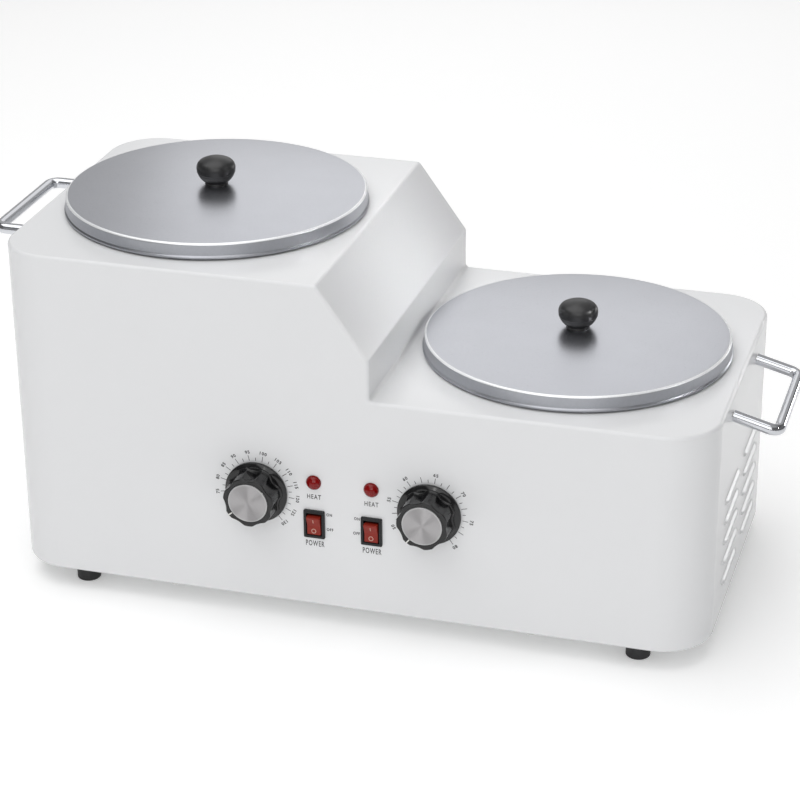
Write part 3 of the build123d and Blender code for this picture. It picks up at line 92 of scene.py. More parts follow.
class Facing(Enum):
    """Which way the local z axis of a piece looks: its three axes in the row frame."""

    UP = ((1, 0, 0), (0, 1, 0), (0, 0, 1))
    FRONT = ((1, 0, 0), (0, 0, 1), (0, -1, 0))
    LEFT = ((0, -1, 0), (0, 0, 1), (-1, 0, 0))


class Side(Enum):
    """The two halves of the warmer, with the direction of each along X."""

    LEFT = -1
    RIGHT = 1

    @property
    def label(self) -> str:
        """Word that the names of this half's pieces start with."""
        return self.name.lower()


@dataclass(frozen=True)
class NodeBox:
    """The box of a frame node at rest."""

    low: Vector
    high: Vector

    @classmethod
    def of(cls, node: str) -> NodeBox:
        """Box of one node."""
        low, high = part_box(node)
        return cls(low, high)

    @property
    def middle(self) -> Vector:
        """Middle of the box."""
        return (self.low + self.high) / 2

    @property
    def size(self) -> Vector:
        """Lengths of the box's sides."""
        return self.high - self.low


@dataclass(frozen=True)
class Place:
    """Where a piece's own origin lies and which way it faces."""

    origin: Vector
    facing: Facing = Facing.UP

    def matrix(self) -> Matrix:
        """Matrix from the piece's own axes to the row frame."""
        turn = Matrix(self.facing.value).transposed().to_4x4()
        return Matrix.Translation(self.origin) @ turn


ORIGIN = Place(Vector((0, 0, 0)))


def on_panel(x: float, z: float, out: float = 0.0) -> Place:
    """Place on the front panel, or a little way out of it, that faces the front."""
    return Place(Vector((x, NodeBox.of("casing").low.y - out, z)), Facing.FRONT)


# Mesh making


def bend(before: Vector, here: Vector, after: Vector, radius: float, steps: int) -> list[Vector]:
    """Points of the arc that rounds one corner of a path, with some spans in a quarter turn."""
    back, ahead = (before - here).normalized(), (after - here).normalized()
    turn = math.pi - back.angle(ahead)
    centre = here + (back + ahead).normalized() * radius / math.cos(turn / 2)
    start = here + back * radius * math.tan(turn / 2) - centre
    axis = back.cross(ahead)
    spans = max(2, round(steps * turn / (math.pi / 2)))
    points = []
    for span in range(spans + 1):
        arm = start.copy()
        arm.rotate(Matrix.Rotation(-turn * span / spans, 3, axis))
        points.append(centre + arm)
    return points


def rounded(corners: Sequence[Corner], closed: bool = False, steps: int = 6) -> list[Point]:
    """Points along straight runs whose corners are arcs.

    Args:
        corners: x, y and fillet radius of each corner.
        closed: whether the last corner joins the first.
        steps: spans in a quarter turn of an arc.

    Returns:
        The points of the outline, in order.
    """
    points: list[Point] = []
    count = len(corners)
    for index, (x, y, radius) in enumerate(corners):
        if radius == 0 or (not closed and index in (0, count - 1)):
            points.append((x, y))
            continue
        three = (corners[index - 1], (x, y), corners[(index + 1) % count])
        stops = [Vector((*corner[:2], 0)) for corner in three]
        points += [tuple(spot.xy) for spot in bend(*stops, radius, steps)]
    return points


def turned(points: Iterable[Point], angle: float) -> list[Point]:
    """Points turned about the origin by an angle in radians."""
    across, up = math.cos(angle), math.sin(angle)
    return [(x * across - y * up, x * up + y * across) for x, y in points]


def arc(radius: float, start: float, end: float, centre: Point = (0, 0), spans: int = 12) -> list[Point]:
    """Points along an arc, with angles in degrees."""
    angles = [math.radians(start + (end - start) * i / spans) for i in range(spans + 1)]
    return [(centre[0] + radius * math.cos(a), centre[1] + radius * math.sin(a)) for a in angles]


def skin(shape: bmesh.types.BMesh, loops: Sequence[list[bmesh.types.BMVert]]) -> None:
    """Add the faces between each loop of vertices and the next; one vertex alone is a point."""
    for low, high in zip(loops, loops[1:]):
        count = max(len(low), len(high))
        for step in range(count):
            after = (step + 1) % count
            corners = ((low, step), (low, after), (high, after), (high, step))
            unique = list(dict.fromkeys(loop[index % len(loop)] for loop, index in corners))
            if len(unique) > 2:
                shape.faces.new(unique)


def lathe(rings: Sequence[Ring], place: Place, steps: int = 160, closed: bool = False) -> bmesh.types.BMesh:
    """Surface through rings about the local z axis.

    Args:
        rings: radius and height of each ring; a radius may be a function of the angle.
        place: where the axis stands.
        steps: vertices in a ring.
        closed: whether the last ring joins the first.

    Returns:
        The surface.
    """
    shape = bmesh.new()
    matrix = place.matrix()
    loops = []
    for radius, height in rings:
        if radius == 0:
            loops.append([shape.verts.new(matrix @ Vector((0, 0, height)))])
            continue
        loop = []
        for step in range(steps):
            angle = 2 * math.pi * step / steps
            reach = radius(angle) if callable(radius) else radius
            spot = Vector((reach * math.cos(angle), reach * math.sin(angle), height))
            loop.append(shape.verts.new(matrix @ spot))
        loops.append(loop)
    skin(shape, loops + loops[:1] if closed else loops)
    return shape


def prism(outline: Sequence[Point], depth: float, place: Place) -> bmesh.types.BMesh:
    """Outline drawn on a place's plane, pushed out of it by a depth."""
    shape = bmesh.new()
    matrix = place.matrix()
    near = [shape.verts.new(matrix @ Vector((x, y, 0))) for x, y in outline]
    far = [shape.verts.new(matrix @ Vector((x, y, depth))) for x, y in outline]
    shape.faces.new(near)
    shape.faces.new(far)
    skin(shape, [near, far])
    bmesh.ops.recalc_face_normals(shape, faces=shape.faces)
    return shape


def disc(radius: float, height: float, place: Place, steps: int = 160) -> bmesh.types.BMesh:
    """Round closed block that stands on a place."""
    return lathe([(0, 0), (radius, 0), (radius, height), (0, height)], place, steps)


def rectangle(half_width: float, half_height: float) -> list[Point]:
    """Corners of a rectangle about the origin."""
    signs = ((-1, -1), (1, -1), (1, 1), (-1, 1))
    return [(half_width * across, half_height * up) for across, up in signs]


def domed(radius: float, shoulder: float, rise: float, spans: tuple[int, int]) -> list[Point]:
    """Side of a shallow dome: a tight shoulder that runs on into a flatter cap.

    Args:
        radius: radius where the dome starts.
        shoulder: radius of the shoulder's arc.
        rise: height of the dome's top over its start.
        spans: spans in the shoulder and in the cap.

    Returns:
        Points from the dome's start to its top, with heights counted from its start.
    """
    narrow = radius - shoulder
    large = (narrow**2 + rise**2 - shoulder**2) / (2 * (rise - shoulder))
    turn = math.degrees(math.atan2(large - rise, narrow))
    cap = arc(large, turn, 90, (0, rise - large), spans[1])
    return arc(shoulder, 0, turn, (narrow, 0), spans[0]) + cap[1:-1] + [(0, rise)]


def merged(shapes: Iterable[bmesh.types.BMesh]) -> bmesh.types.BMesh:
    """One mesh that holds several, which are used up."""
    whole = bmesh.new()
    for shape in shapes:
        part = bpy.data.meshes.new("part")
        shape.to_mesh(part)
        shape.free()
        whole.from_mesh(part)
        bpy.data.meshes.remove(part)
    return whole


def round_edges(
    shape: bmesh.types.BMesh, edges: Iterable[bmesh.types.BMEdge], radius: float, segments: int
) -> None:
    """Round some edges of a mesh with an arc of that radius."""
    bmesh.ops.bevel(
        shape,
        geom=list(edges),
        offset=radius,
        segments=segments,
        profile=0.5,
        affect="EDGES",
        clamp_overlap=False,
    )


def sharp_edges(shape: bmesh.types.BMesh, angle: float = 60) -> list[bmesh.types.BMEdge]:
    """Edges where two faces meet at more than an angle in degrees."""
    limit = math.radians(angle)
    return [e for e in shape.edges if len(e.link_faces) == 2 and e.calc_face_angle() > limit]


def as_object(shape: bmesh.types.BMesh, name: str) -> bpy.types.Object:
    """Object made of a mesh, with flat faces kept flat and curves shaded smooth."""
    bmesh.ops.recalc_face_normals(shape, faces=shape.faces)
    mesh = bpy.data.meshes.new(name)
    shape.to_mesh(mesh)
    shape.free()
    return dressed_object(mesh, name)


def dressed_object(mesh: bpy.types.Mesh, name: str) -> bpy.types.Object:
    """Object with a finished mesh, linked to the scene and ready to shade."""
    mesh.polygons.foreach_set("use_smooth", [True] * len(mesh.polygons))
    mesh.set_sharp_from_angle(angle=SHARP_ANGLE)
    piece = bpy.data.objects.new(name, mesh)
    bpy.context.scene.collection.objects.link(piece)
    even = piece.modifiers.new("even_shading", "WEIGHTED_NORMAL")
    even.keep_sharp = True
    return piece


def carved(outer: bmesh.types.BMesh, cutters: Sequence[bmesh.types.BMesh], name: str) -> bpy.types.Mesh:
    """Mesh of one closed form with others taken out of it.

    Args:
        outer: the form that stays.
        cutters: closed forms to take away, one after another.
        name: name of the new mesh.

    Returns:
        The mesh that is left.
    """
    block = as_object(outer, name)
    block.modifiers.clear()
    tools = []
    for index, cutter in enumerate(cutters):
        tool = as_object(cutter, f"{name}_cutter_{index}")
        tool.modifiers.clear()
        cut = block.modifiers.new("cut", "BOOLEAN")
        cut.operation = "DIFFERENCE"
        cut.solver = "EXACT"
        cut.object = tool
        tools.append(tool)
    graph = bpy.context.evaluated_depsgraph_get()
    mesh = bpy.data.meshes.new_from_object(block.evaluated_get(graph))
    for used in (block, *tools):
        bpy.data.objects.remove(used)
    return mesh


# Finishes


class NodeSheet:
    """A material's node tree, with the few calls that the finishes need."""

    def __init__(self, name: str) -> None:
        """Start a material with one principled shader."""
        self.material = bpy.data.materials.new(name)
        self.material.use_nodes = True
        self.tree = self.material.node_tree
        self.tree.nodes.clear()
        self.shader = self.add("ShaderNodeBsdfPrincipled")
        output = self.add("ShaderNodeOutputMaterial")
        self.link(self.shader.outputs["BSDF"], output.inputs["Surface"])
        self.coordinates = self.add("ShaderNodeTexCoord").outputs["Object"]

    def add(self, kind: str, **settings: object) -> bpy.types.Node:
        """New node of a kind, with some of its properties set."""
        node = self.tree.nodes.new(kind)
        for key, value in settings.items():
            setattr(node, key, value)
        return node

    def link(self, start: bpy.types.NodeSocket, end: bpy.types.NodeSocket) -> None:
        """Join two sockets."""
        self.tree.links.new(start, end)

    def noise(self, size: float, detail: float = 2.0) -> bpy.types.NodeSocket:
        """Noise whose grains are about a size across."""
        node = self.add("ShaderNodeTexNoise")
        node.inputs["Scale"].default_value = 1 / size
        node.inputs["Detail"].default_value = detail
        self.link(self.coordinates, node.inputs["Vector"])
        return node.outputs["Fac"]

    def spread(self, value: bpy.types.NodeSocket, low: float, high: float) -> bpy.types.NodeSocket:
        """Value from noise stretched to run from low to high."""
        node = self.add("ShaderNodeMapRange")
        settings = {"From Min": NOISE_RANGE[0], "From Max": NOISE_RANGE[1], "To Min": low, "To Max": high}
        for socket, number in settings.items():
            node.inputs[socket].default_value = number
        self.link(value, node.inputs["Value"])
        return node.outputs["Result"]

    def blend(self, share: bpy.types.NodeSocket, low: Colour, high: Colour) -> bpy.types.NodeSocket:
        """Colour between two, by a share."""
        node = self.add("ShaderNodeMix", data_type="RGBA")
        self.link(share, node.inputs["Factor"])
        colours = [socket for socket in node.inputs if socket.type == "RGBA"]
        colours[0].default_value = (*low, 1)
        colours[1].default_value = (*high, 1)
        return next(socket for socket in node.outputs if socket.type == "RGBA")

    def bump(self, height: bpy.types.NodeSocket, depth: float) -> bpy.types.NodeSocket:
        """Normal of a surface that rises by a depth where the height is one."""
        node = self.add("ShaderNodeBump")
        node.inputs["Strength"].default_value = 1.0
        node.inputs["Distance"].default_value = depth
        self.link(height, node.inputs["Height"])
        return node.outputs["Normal"]


@dataclass(frozen=True)
class Finish:
    """A plain finish: colour, gloss, and the grain and unevenness that the real one has."""

    name: str
    colour: Colour
    roughness: float
    metallic: float = 0.0
    grain: float = 0.0008
    grain_depth: float = 0.000004
    gloss_spread: float = 0.12
    mottle: float = 0.02
    mottle_size: float = 0.06
    glow: float = 0.0
    specular: float = 0.5

    def build(self) -> bpy.types.Material:
        """Make the material, or find it where it is made already."""
        title = f"{self.name}_finish"
        found = bpy.data.materials.get(title)
        return found or self.paint(NodeSheet(title)).material

    def paint(self, sheet: NodeSheet) -> NodeSheet:
        """Add this finish's nodes to a sheet and return the sheet."""
        shader = sheet.shader
        shader.inputs["Metallic"].default_value = self.metallic
        shader.inputs["Specular IOR Level"].default_value = self.specular
        shader.inputs["Emission Color"].default_value = (1, 1, 1, 1)
        shader.inputs["Emission Strength"].default_value = self.glow
        fine = sheet.noise(self.grain)
        broad = sheet.noise(self.mottle_size, BROAD_DETAIL)
        low = tuple(c * (1 - self.mottle) for c in self.colour)
        high = tuple(min(1.0, c * (1 + self.mottle)) for c in self.colour)
        sheet.link(sheet.blend(sheet.spread(broad, 0, 1), low, high), shader.inputs["Base Color"])
        rough = sheet.spread(
            fine, self.roughness * (1 - self.gloss_spread), self.roughness * (1 + self.gloss_spread)
        )
        sheet.link(rough, shader.inputs["Roughness"])
        sheet.link(sheet.bump(fine, self.grain_depth), shader.inputs["Normal"])
        return sheet


@dataclass(frozen=True)
class SpunFinish(Finish):
    """Metal turned on a lathe: rings about its axis, which stretch its highlights across them."""

    ring_pitch: float = 0.0006
    ring_depth: float = 0.000003
    ring_wobble: float = 0.4
    ring_detail: float = 1.0
    anisotropy: float = 0.7
    stretch_turn: float = 0.25
    centre: tuple[float, float, float] = (0.0, 0.0, 0.0)
    facing: Facing = Facing.UP

    def about(self, label: str, centre: Vector) -> SpunFinish:
        """The same finish for one piece, turned about that piece's own axis."""
        return replace(self, name=f"{label}_{self.name}", centre=tuple(centre))

    def paint(self, sheet: NodeSheet) -> NodeSheet:
        """Add the turned rings to the plain finish."""
        super().paint(sheet)
        shader = sheet.shader
        axis = "Z" if self.facing is Facing.UP else "Y"
        shift = sheet.add("ShaderNodeVectorMath", operation="SUBTRACT")
        shift.inputs[1].default_value = self.centre
        sheet.link(sheet.coordinates, shift.inputs[0])
        rings = sheet.add("ShaderNodeTexWave", wave_type="RINGS", rings_direction=axis)
        rings.inputs["Scale"].default_value = 1 / (self.ring_pitch * WAVES_PER_SCALE)
        rings.inputs["Distortion"].default_value = self.ring_wobble
        rings.inputs["Detail"].default_value = self.ring_detail
        sheet.link(shift.outputs["Vector"], rings.inputs["Vector"])
        sheet.link(sheet.bump(rings.outputs["Fac"], self.ring_depth), shader.inputs["Normal"])
        shader.inputs["Anisotropic"].default_value = self.anisotropy
        shader.inputs["Anisotropic Rotation"].default_value = self.stretch_turn
        around = sheet.add("ShaderNodeTangent", direction_type="RADIAL", axis=axis)
        sheet.link(around.outputs["Tangent"], shader.inputs["Tangent"])
        return sheet


WHITE_PAINT = Finish(
    "white_enamel", (0.765, 0.77, 0.78), 0.2, grain=0.0012, grain_depth=0.0000006,
    gloss_spread=0.02, mottle=0.004, mottle_size=0.25, specular=0.35,
)
BASE_PAINT = Finish("base_grey", (0.55, 0.56, 0.56), 0.45, grain=0.0006, grain_depth=0.00001)
RUBBER = Finish("black_rubber", (0.018, 0.018, 0.019), 0.62, grain=0.0005, grain_depth=0.00003, mottle=0.15)
GASKET = Finish("gasket_rubber", (0.05, 0.05, 0.05), 0.7, grain=0.0005, grain_depth=0.00002, mottle=0.1)
LID_METAL = Finish(
    "satin_lid", (0.56, 0.57, 0.61), 0.30, metallic=1.0, grain=0.0004, grain_depth=0.000004,
    gloss_spread=0.1, mottle=0.015, mottle_size=0.03,
)
CHROME = Finish(
    "chrome", (0.62, 0.63, 0.66), 0.12, metallic=1.0, grain=0.001, grain_depth=0.0000002,
    gloss_spread=0.03, mottle=0.01,
)
# Painted highlight: a pale, half-metallic copy of the lid's metal, laid on the lid's rounded upper edge
LID_PAINTED_HIGHLIGHT = Finish(
    "lid_edge", (0.88, 0.89, 0.90), 0.3, metallic=0.35, grain=0.0004, grain_depth=0.000001, mottle=0.01,
)
# Painted shade: a darker copy of the lid's metal, laid on the lid's skirt and lip
LID_SKIRT_PAINTED_SHADE = Finish(
    "lid_skirt", (0.40, 0.41, 0.44), 0.33, metallic=1.0, grain=0.0005, grain_depth=0.000006,
    gloss_spread=0.12, mottle=0.03, mottle_size=0.002,
)
BAKELITE = Finish(
    "black_bakelite", (0.006, 0.006, 0.0065), 0.14, grain=0.001, grain_depth=0.0000005,
    gloss_spread=0.04, mottle=0.2,
)
GRIP_BLACK = Finish(
    "grip_black", (0.016, 0.016, 0.017), 0.36, grain=0.0006, grain_depth=0.000003,
    gloss_spread=0.08, mottle=0.12, mottle_size=0.01,
)
SATIN_BLACK = Finish(
    "moulded_black", (0.007, 0.008, 0.009), 0.4, grain=0.0004, grain_depth=0.00001,
    mottle=0.15, specular=0.35,
)
MOULDED_WHITE = Finish("moulded_white", (0.72, 0.71, 0.67), 0.42, grain=0.0005, grain_depth=0.00001)
RED_ROCKER = Finish(
    "red_rocker", (0.24, 0.017, 0.008), 0.42, specular=0.3,
    grain=0.0006, grain_depth=0.000004, mottle=0.06, mottle_size=0.006,
)
RED_LENS = Finish(
    "red_lens", (0.2, 0.0, 0.0004), 0.05, grain=0.0012, grain_depth=0.0000002,
    gloss_spread=0.05, mottle=0.03, mottle_size=0.004, specular=0.35,
)
PRINT_INK = Finish(
    "printed_ink", (0.012, 0.012, 0.014), 0.5, grain=0.0003, grain_depth=0.000004, mottle=0.2,
)
WHITE_MARK = Finish("white_mark", (0.80, 0.79, 0.76), 0.4, grain=0.0003, grain_depth=0.000004)
PALE_MARK = Finish("pale_mark", (0.62, 0.40, 0.33), 0.4, grain=0.0003, grain_depth=0.000004)
ZINC = Finish(
    "zinc_steel", (0.58, 0.58, 0.56), 0.3, metallic=1.0, grain=0.0006, grain_depth=0.000006, mottle=0.06,
)
HEATER_STEEL = Finish(
    "heater_steel", (0.45, 0.42, 0.38), 0.35, metallic=1.0, grain=0.001, grain_depth=0.000006, mottle=0.1,
)
SPUN_WELL = SpunFinish("spun_well", (0.72, 0.72, 0.73), 0.3, metallic=1.0)
SPUN_POT = SpunFinish("spun_pot", (0.78, 0.78, 0.79), 0.24, metallic=1.0)
SPUN_CAP = SpunFinish(
    "spun_cap", (0.43, 0.42, 0.425), 0.42, metallic=1.0,
    facing=Facing.FRONT, ring_pitch=0.00035, ring_depth=0.000002, anisotropy=0.96,
)
POLISHED = Finish("polished_rim", (0.46, 0.46, 0.46), 0.3, metallic=1.0, grain=0.001, grain_depth=0.000001)
BRASS = Finish("brass", (0.72, 0.52, 0.22), 0.28, metallic=1.0, grain=0.0008, grain_depth=0.000005)
WOOL = Finish(
    "ceramic_wool", (0.78, 0.76, 0.70), 0.9, grain=0.0012, grain_depth=0.0002,
    mottle=0.08, mottle_size=0.01,
)
LEAD_SLEEVE = Finish(
    "lead_sleeve", (0.45, 0.43, 0.38), 0.55, grain=0.0006, grain_depth=0.00004, mottle=0.08,
)
WHITE_FLOOR = Finish("studio_floor", (0.92, 0.92, 0.92), 0.75, mottle=0.0, mottle_size=1.0, glow=0.22)

SLOT_FINISHES: dict[str, Finish] = {
    "white_paint": WHITE_PAINT,
    "base_paint": BASE_PAINT,
    "foot_rubber": RUBBER,
    "gasket_rubber": GASKET,
    "zinc_steel": ZINC,
    "heater_steel": HEATER_STEEL,
    "chrome": CHROME,
    "spun_aluminium": LID_METAL,
    "lid_aluminium": LID_METAL,
    "brass": BRASS,
    "black_knob": BAKELITE,
    "moulded_black": SATIN_BLACK,
    "moulded_white": MOULDED_WHITE,
    "lead_sleeve": LEAD_SLEEVE,
    "red_rocker": RED_ROCKER,
    "red_lens": RED_LENS,
    "insulation_wool": WOOL,
}


def fit_piece(
    piece: bpy.types.Object, body: str, finishes: Sequence[Finish], replaces: Sequence[str] = ()
) -> bpy.types.Object:
    """Give a piece its finishes and its body, and hide the frame nodes that it stands for.

    Args:
        piece: the object.
        body: body that it moves with.
        finishes: its finishes, in the order of its faces' material numbers.
        replaces: frame nodes that it stands for.

    Returns:
        The same object.
    """
    for finish in finishes:
        piece.data.materials.append(finish.build())
    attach(piece, body)
    if replaces:
        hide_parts(*replaces)
    log.info("%s: %d faces, rides on %s", piece.name, len(piece.data.polygons), body)
    return piece


# Sub-assemblies


@dataclass(frozen=True)
class Casing:
    """Painted sheet steel casing: a tall half, a slope and a low half, with louvres in both ends."""

    sheet: float = 0.0015
    base_inset: float = 0.003
    flange_stack: float = 0.0025
    corner_radius: float = 0.036
    rim_radius: float = 0.0025
    bottom_radius: float = 0.0012
    bend_radius: float = 0.003
    riser: float = 0.030
    slope_run: float = 0.036
    return_width: float = 0.014
    well_opening: float = 0.093
    louvre_length: float = 0.052
    louvre_slot: float = 0.004
    louvre_pitch: float = 0.0155
    louvre_rows: int = 5
    louvre_low: float = 0.0237
    louvre_columns: tuple[float, float] = (-0.0365, 0.0395)
    louvre_proud: float = 0.0022
    louvre_rise: float = 0.0022
    louvre_drop: float = 0.0008
    louvre_sheet: float = 0.0008
    hood_spans: tuple[int, int] = (56, 10)
    hood_end_sharpness: float = 14
    hood_crown: float = 1.3
    slot_reach: float = 0.006
    cut_depth: float = 0.012
    floor_cut: float = 0.008
    corner_spans: int = 18
    rim_spans: int = 6
    bottom_spans: int = 4
    hole_steps: int = 48
    dial_hole: float = 0.0052
    lamp_hole: float = 0.0042
    switch_cut: tuple[float, float] = (0.0134, 0.0196)
    inlet_cut: tuple[float, float] = (0.0279, 0.0202)

    @property
    def box(self) -> NodeBox:
        """Box of the casing without its louvres."""
        casing, base = NodeBox.of("casing"), NodeBox.of("base_plate")
        low, high = casing.low.copy(), casing.high.copy()
        low.x, high.x = base.low.x - self.base_inset, base.high.x + self.base_inset
        return NodeBox(low, high)

    @property
    def low_top(self) -> float:
        """Height of the low half's top."""
        return NodeBox.of("right_well").high.z - self.flange_stack

    def form(self, inset: float) -> bmesh.types.BMesh:
        """The stepped form, drawn in by an inset, with its bends, corners and rims rounded."""
        box = self.box
        low_x, high_x = box.low.x + inset, box.high.x - inset
        drop = box.high.z - self.low_top - self.riser
        slope = math.atan2(drop, self.slope_run)
        half = self.slope_run / 2
        foot = half - inset
        outline = rounded(
            [
                (low_x, box.low.z + inset, 0),
                (high_x, box.low.z + inset, 0),
                (high_x, self.low_top - inset, 0),
                (foot, self.low_top - inset, self.bend_radius + inset),
                (
                    foot,
                    self.low_top + self.riser - inset * math.tan(math.pi / 4 - slope / 2),
                    self.bend_radius - inset,
                ),
                (-half - inset * math.tan(slope / 2), box.high.z - inset, self.bend_radius - inset),
                (low_x, box.high.z - inset, 0),
            ],
            closed=True,
            steps=8,
        )
        back = Place(Vector((0, box.high.y - inset, 0)), Facing.FRONT)
        shape = prism(outline, box.size.y - 2 * inset, back)
        uprights = [
            edge
            for edge in sharp_edges(shape)
            if (edge.verts[0].co - edge.verts[1].co).xy.length < SAME_PLACE
            and abs(edge.verts[0].co.x) > self.slope_run
        ]
        round_edges(shape, uprights, self.corner_radius - inset, self.corner_spans)
        middle = (box.low.z + self.low_top) / 2
        rims = sharp_edges(shape)
        top = [edge for edge in rims if edge.verts[0].co.z > middle]
        round_edges(shape, top, self.rim_radius - inset, self.rim_spans)
        if inset == 0:
            bottom = [edge for edge in sharp_edges(shape) if edge.verts[0].co.z < middle]
            round_edges(shape, bottom, self.bottom_radius, self.bottom_spans)
        return shape

    def openings(self) -> bmesh.types.BMesh:
        """Cutters for the wells, the underside, the controls, the inlet and the louvres' slots."""
        box = self.box
        start = 3 * self.sheet
        cutters = []
        for side in Side:
            well = NodeBox.of(f"{side.label}_well")
            spot = Vector((well.middle.x, well.middle.y, well.high.z - self.flange_stack - start))
            cutters.append(disc(self.well_opening, self.cut_depth, Place(spot)))
            for node, radius in (("dial_knob", self.dial_hole), ("lamp_lens", self.lamp_hole)):
                centre = NodeBox.of(f"{side.label}_{node}").middle
                place = Place(Vector((centre.x, box.low.y + start, centre.z)), Facing.FRONT)
                cutters.append(disc(radius, self.cut_depth, place, self.hole_steps))
            switch = NodeBox.of(f"{side.label}_rocker").middle
            cutters.append(self.block(switch.x, switch.z, self.switch_cut, box.low.y + start))
            cutters.extend(self.slot_cutters(side))
        inlet = NodeBox.of("power_inlet").middle
        cutters.append(self.block(inlet.x, inlet.z, self.inlet_cut, box.high.y + start))
        half_x = box.size.x / 2 - self.return_width
        half_y = box.size.y / 2 - self.return_width
        radius = self.corner_radius - self.return_width
        corners = [(*corner, radius) for corner in rectangle(half_x, half_y)]
        floor = Place(Vector((box.middle.x, box.middle.y, box.low.z - self.floor_cut / 2)))
        cutters.append(prism(rounded(corners, True), self.floor_cut, floor))
        return merged(cutters)

    def block(self, x: float, z: float, size: tuple[float, float], back: float) -> bmesh.types.BMesh:
        """Upright cutter of a width and height, which starts at a depth and comes forward."""
        outline = rectangle(size[0] / 2, size[1] / 2)
        return prism(outline, self.cut_depth, Place(Vector((x, back, z)), Facing.FRONT))

    def wall(self, side: Side) -> float:
        """X of the outside of one end's wall."""
        return self.box.high.x if side is Side.RIGHT else self.box.low.x

    def louvre_places(self) -> list[tuple[float, float]]:
        """Middle in Y and slot height in Z of each louvre."""
        box = self.box
        return [
            (box.middle.y + column, box.low.z + self.louvre_low + row * self.louvre_pitch)
            for column in self.louvre_columns
            for row in range(self.louvre_rows)
        ]

    def slot_cutters(self, side: Side) -> list[bmesh.types.BMesh]:
        """Cutters for the slots under one end's louvres."""
        outline = rectangle(self.slot_reach, self.louvre_slot / 2)
        half = self.louvre_length / 2
        starts = [Vector((self.wall(side), y + half, z)) for y, z in self.louvre_places()]
        return [prism(outline, self.louvre_length, Place(start, Facing.FRONT)) for start in starts]

    def hood(self, side: Side, y: float, z: float) -> bmesh.types.BMesh:
        """One pressed louvre: a hood that swells from the wall and hangs over its slot."""
        wall = self.wall(side)
        top, lip = z + self.louvre_rise, z - self.louvre_drop
        length = self.louvre_length + 2 * self.louvre_sheet
        across, down = self.hood_spans
        outside, inside = [], []
        shape = bmesh.new()
        for i in range(across + 1):
            along = -1 + 2 * i / across
            swell = math.sqrt(max(0.0, 1 - abs(along) ** self.hood_end_sharpness))
            for rows, back in ((outside, 0.0), (inside, self.louvre_sheet)):
                row = []
                for j in range(down + 1):
                    share = j / down
                    bulge = math.sin(share * math.pi / 2) ** self.hood_crown
                    proud = self.louvre_proud * bulge * swell
                    reach = max(proud - back, -self.sheet / 2)
                    spot = (wall + side.value * reach, y + along * length / 2, top + (lip - top) * share)
                    row.append(shape.verts.new(spot))
                rows.append(row)
        for i in range(across):
            for j in range(down):
                for rows in (outside, inside):
                    shape.faces.new([rows[i][j], rows[i + 1][j], rows[i + 1][j + 1], rows[i][j + 1]])
            for j in (0, down):
                shape.faces.new([outside[i][j], outside[i + 1][j], inside[i + 1][j], inside[i][j]])
        for i in (0, across):
            for j in range(down):
                shape.faces.new([outside[i][j], outside[i][j + 1], inside[i][j + 1], inside[i][j]])
        return shape

    def build(self) -> None:
        """Make the casing and dress it."""
        mesh = carved(self.form(0.0), [self.form(self.sheet), self.openings()], "casing_shell")
        shell = dressed_object(mesh, "casing_shell")
        fit_piece(shell, "housing", [WHITE_PAINT], ["casing"])
        for side in Side:
            hoods = merged(self.hood(side, y, z) for y, z in self.louvre_places())
            piece = as_object(hoods, f"{side.label}_louvres")
            fit_piece(piece, "housing", [WHITE_PAINT])


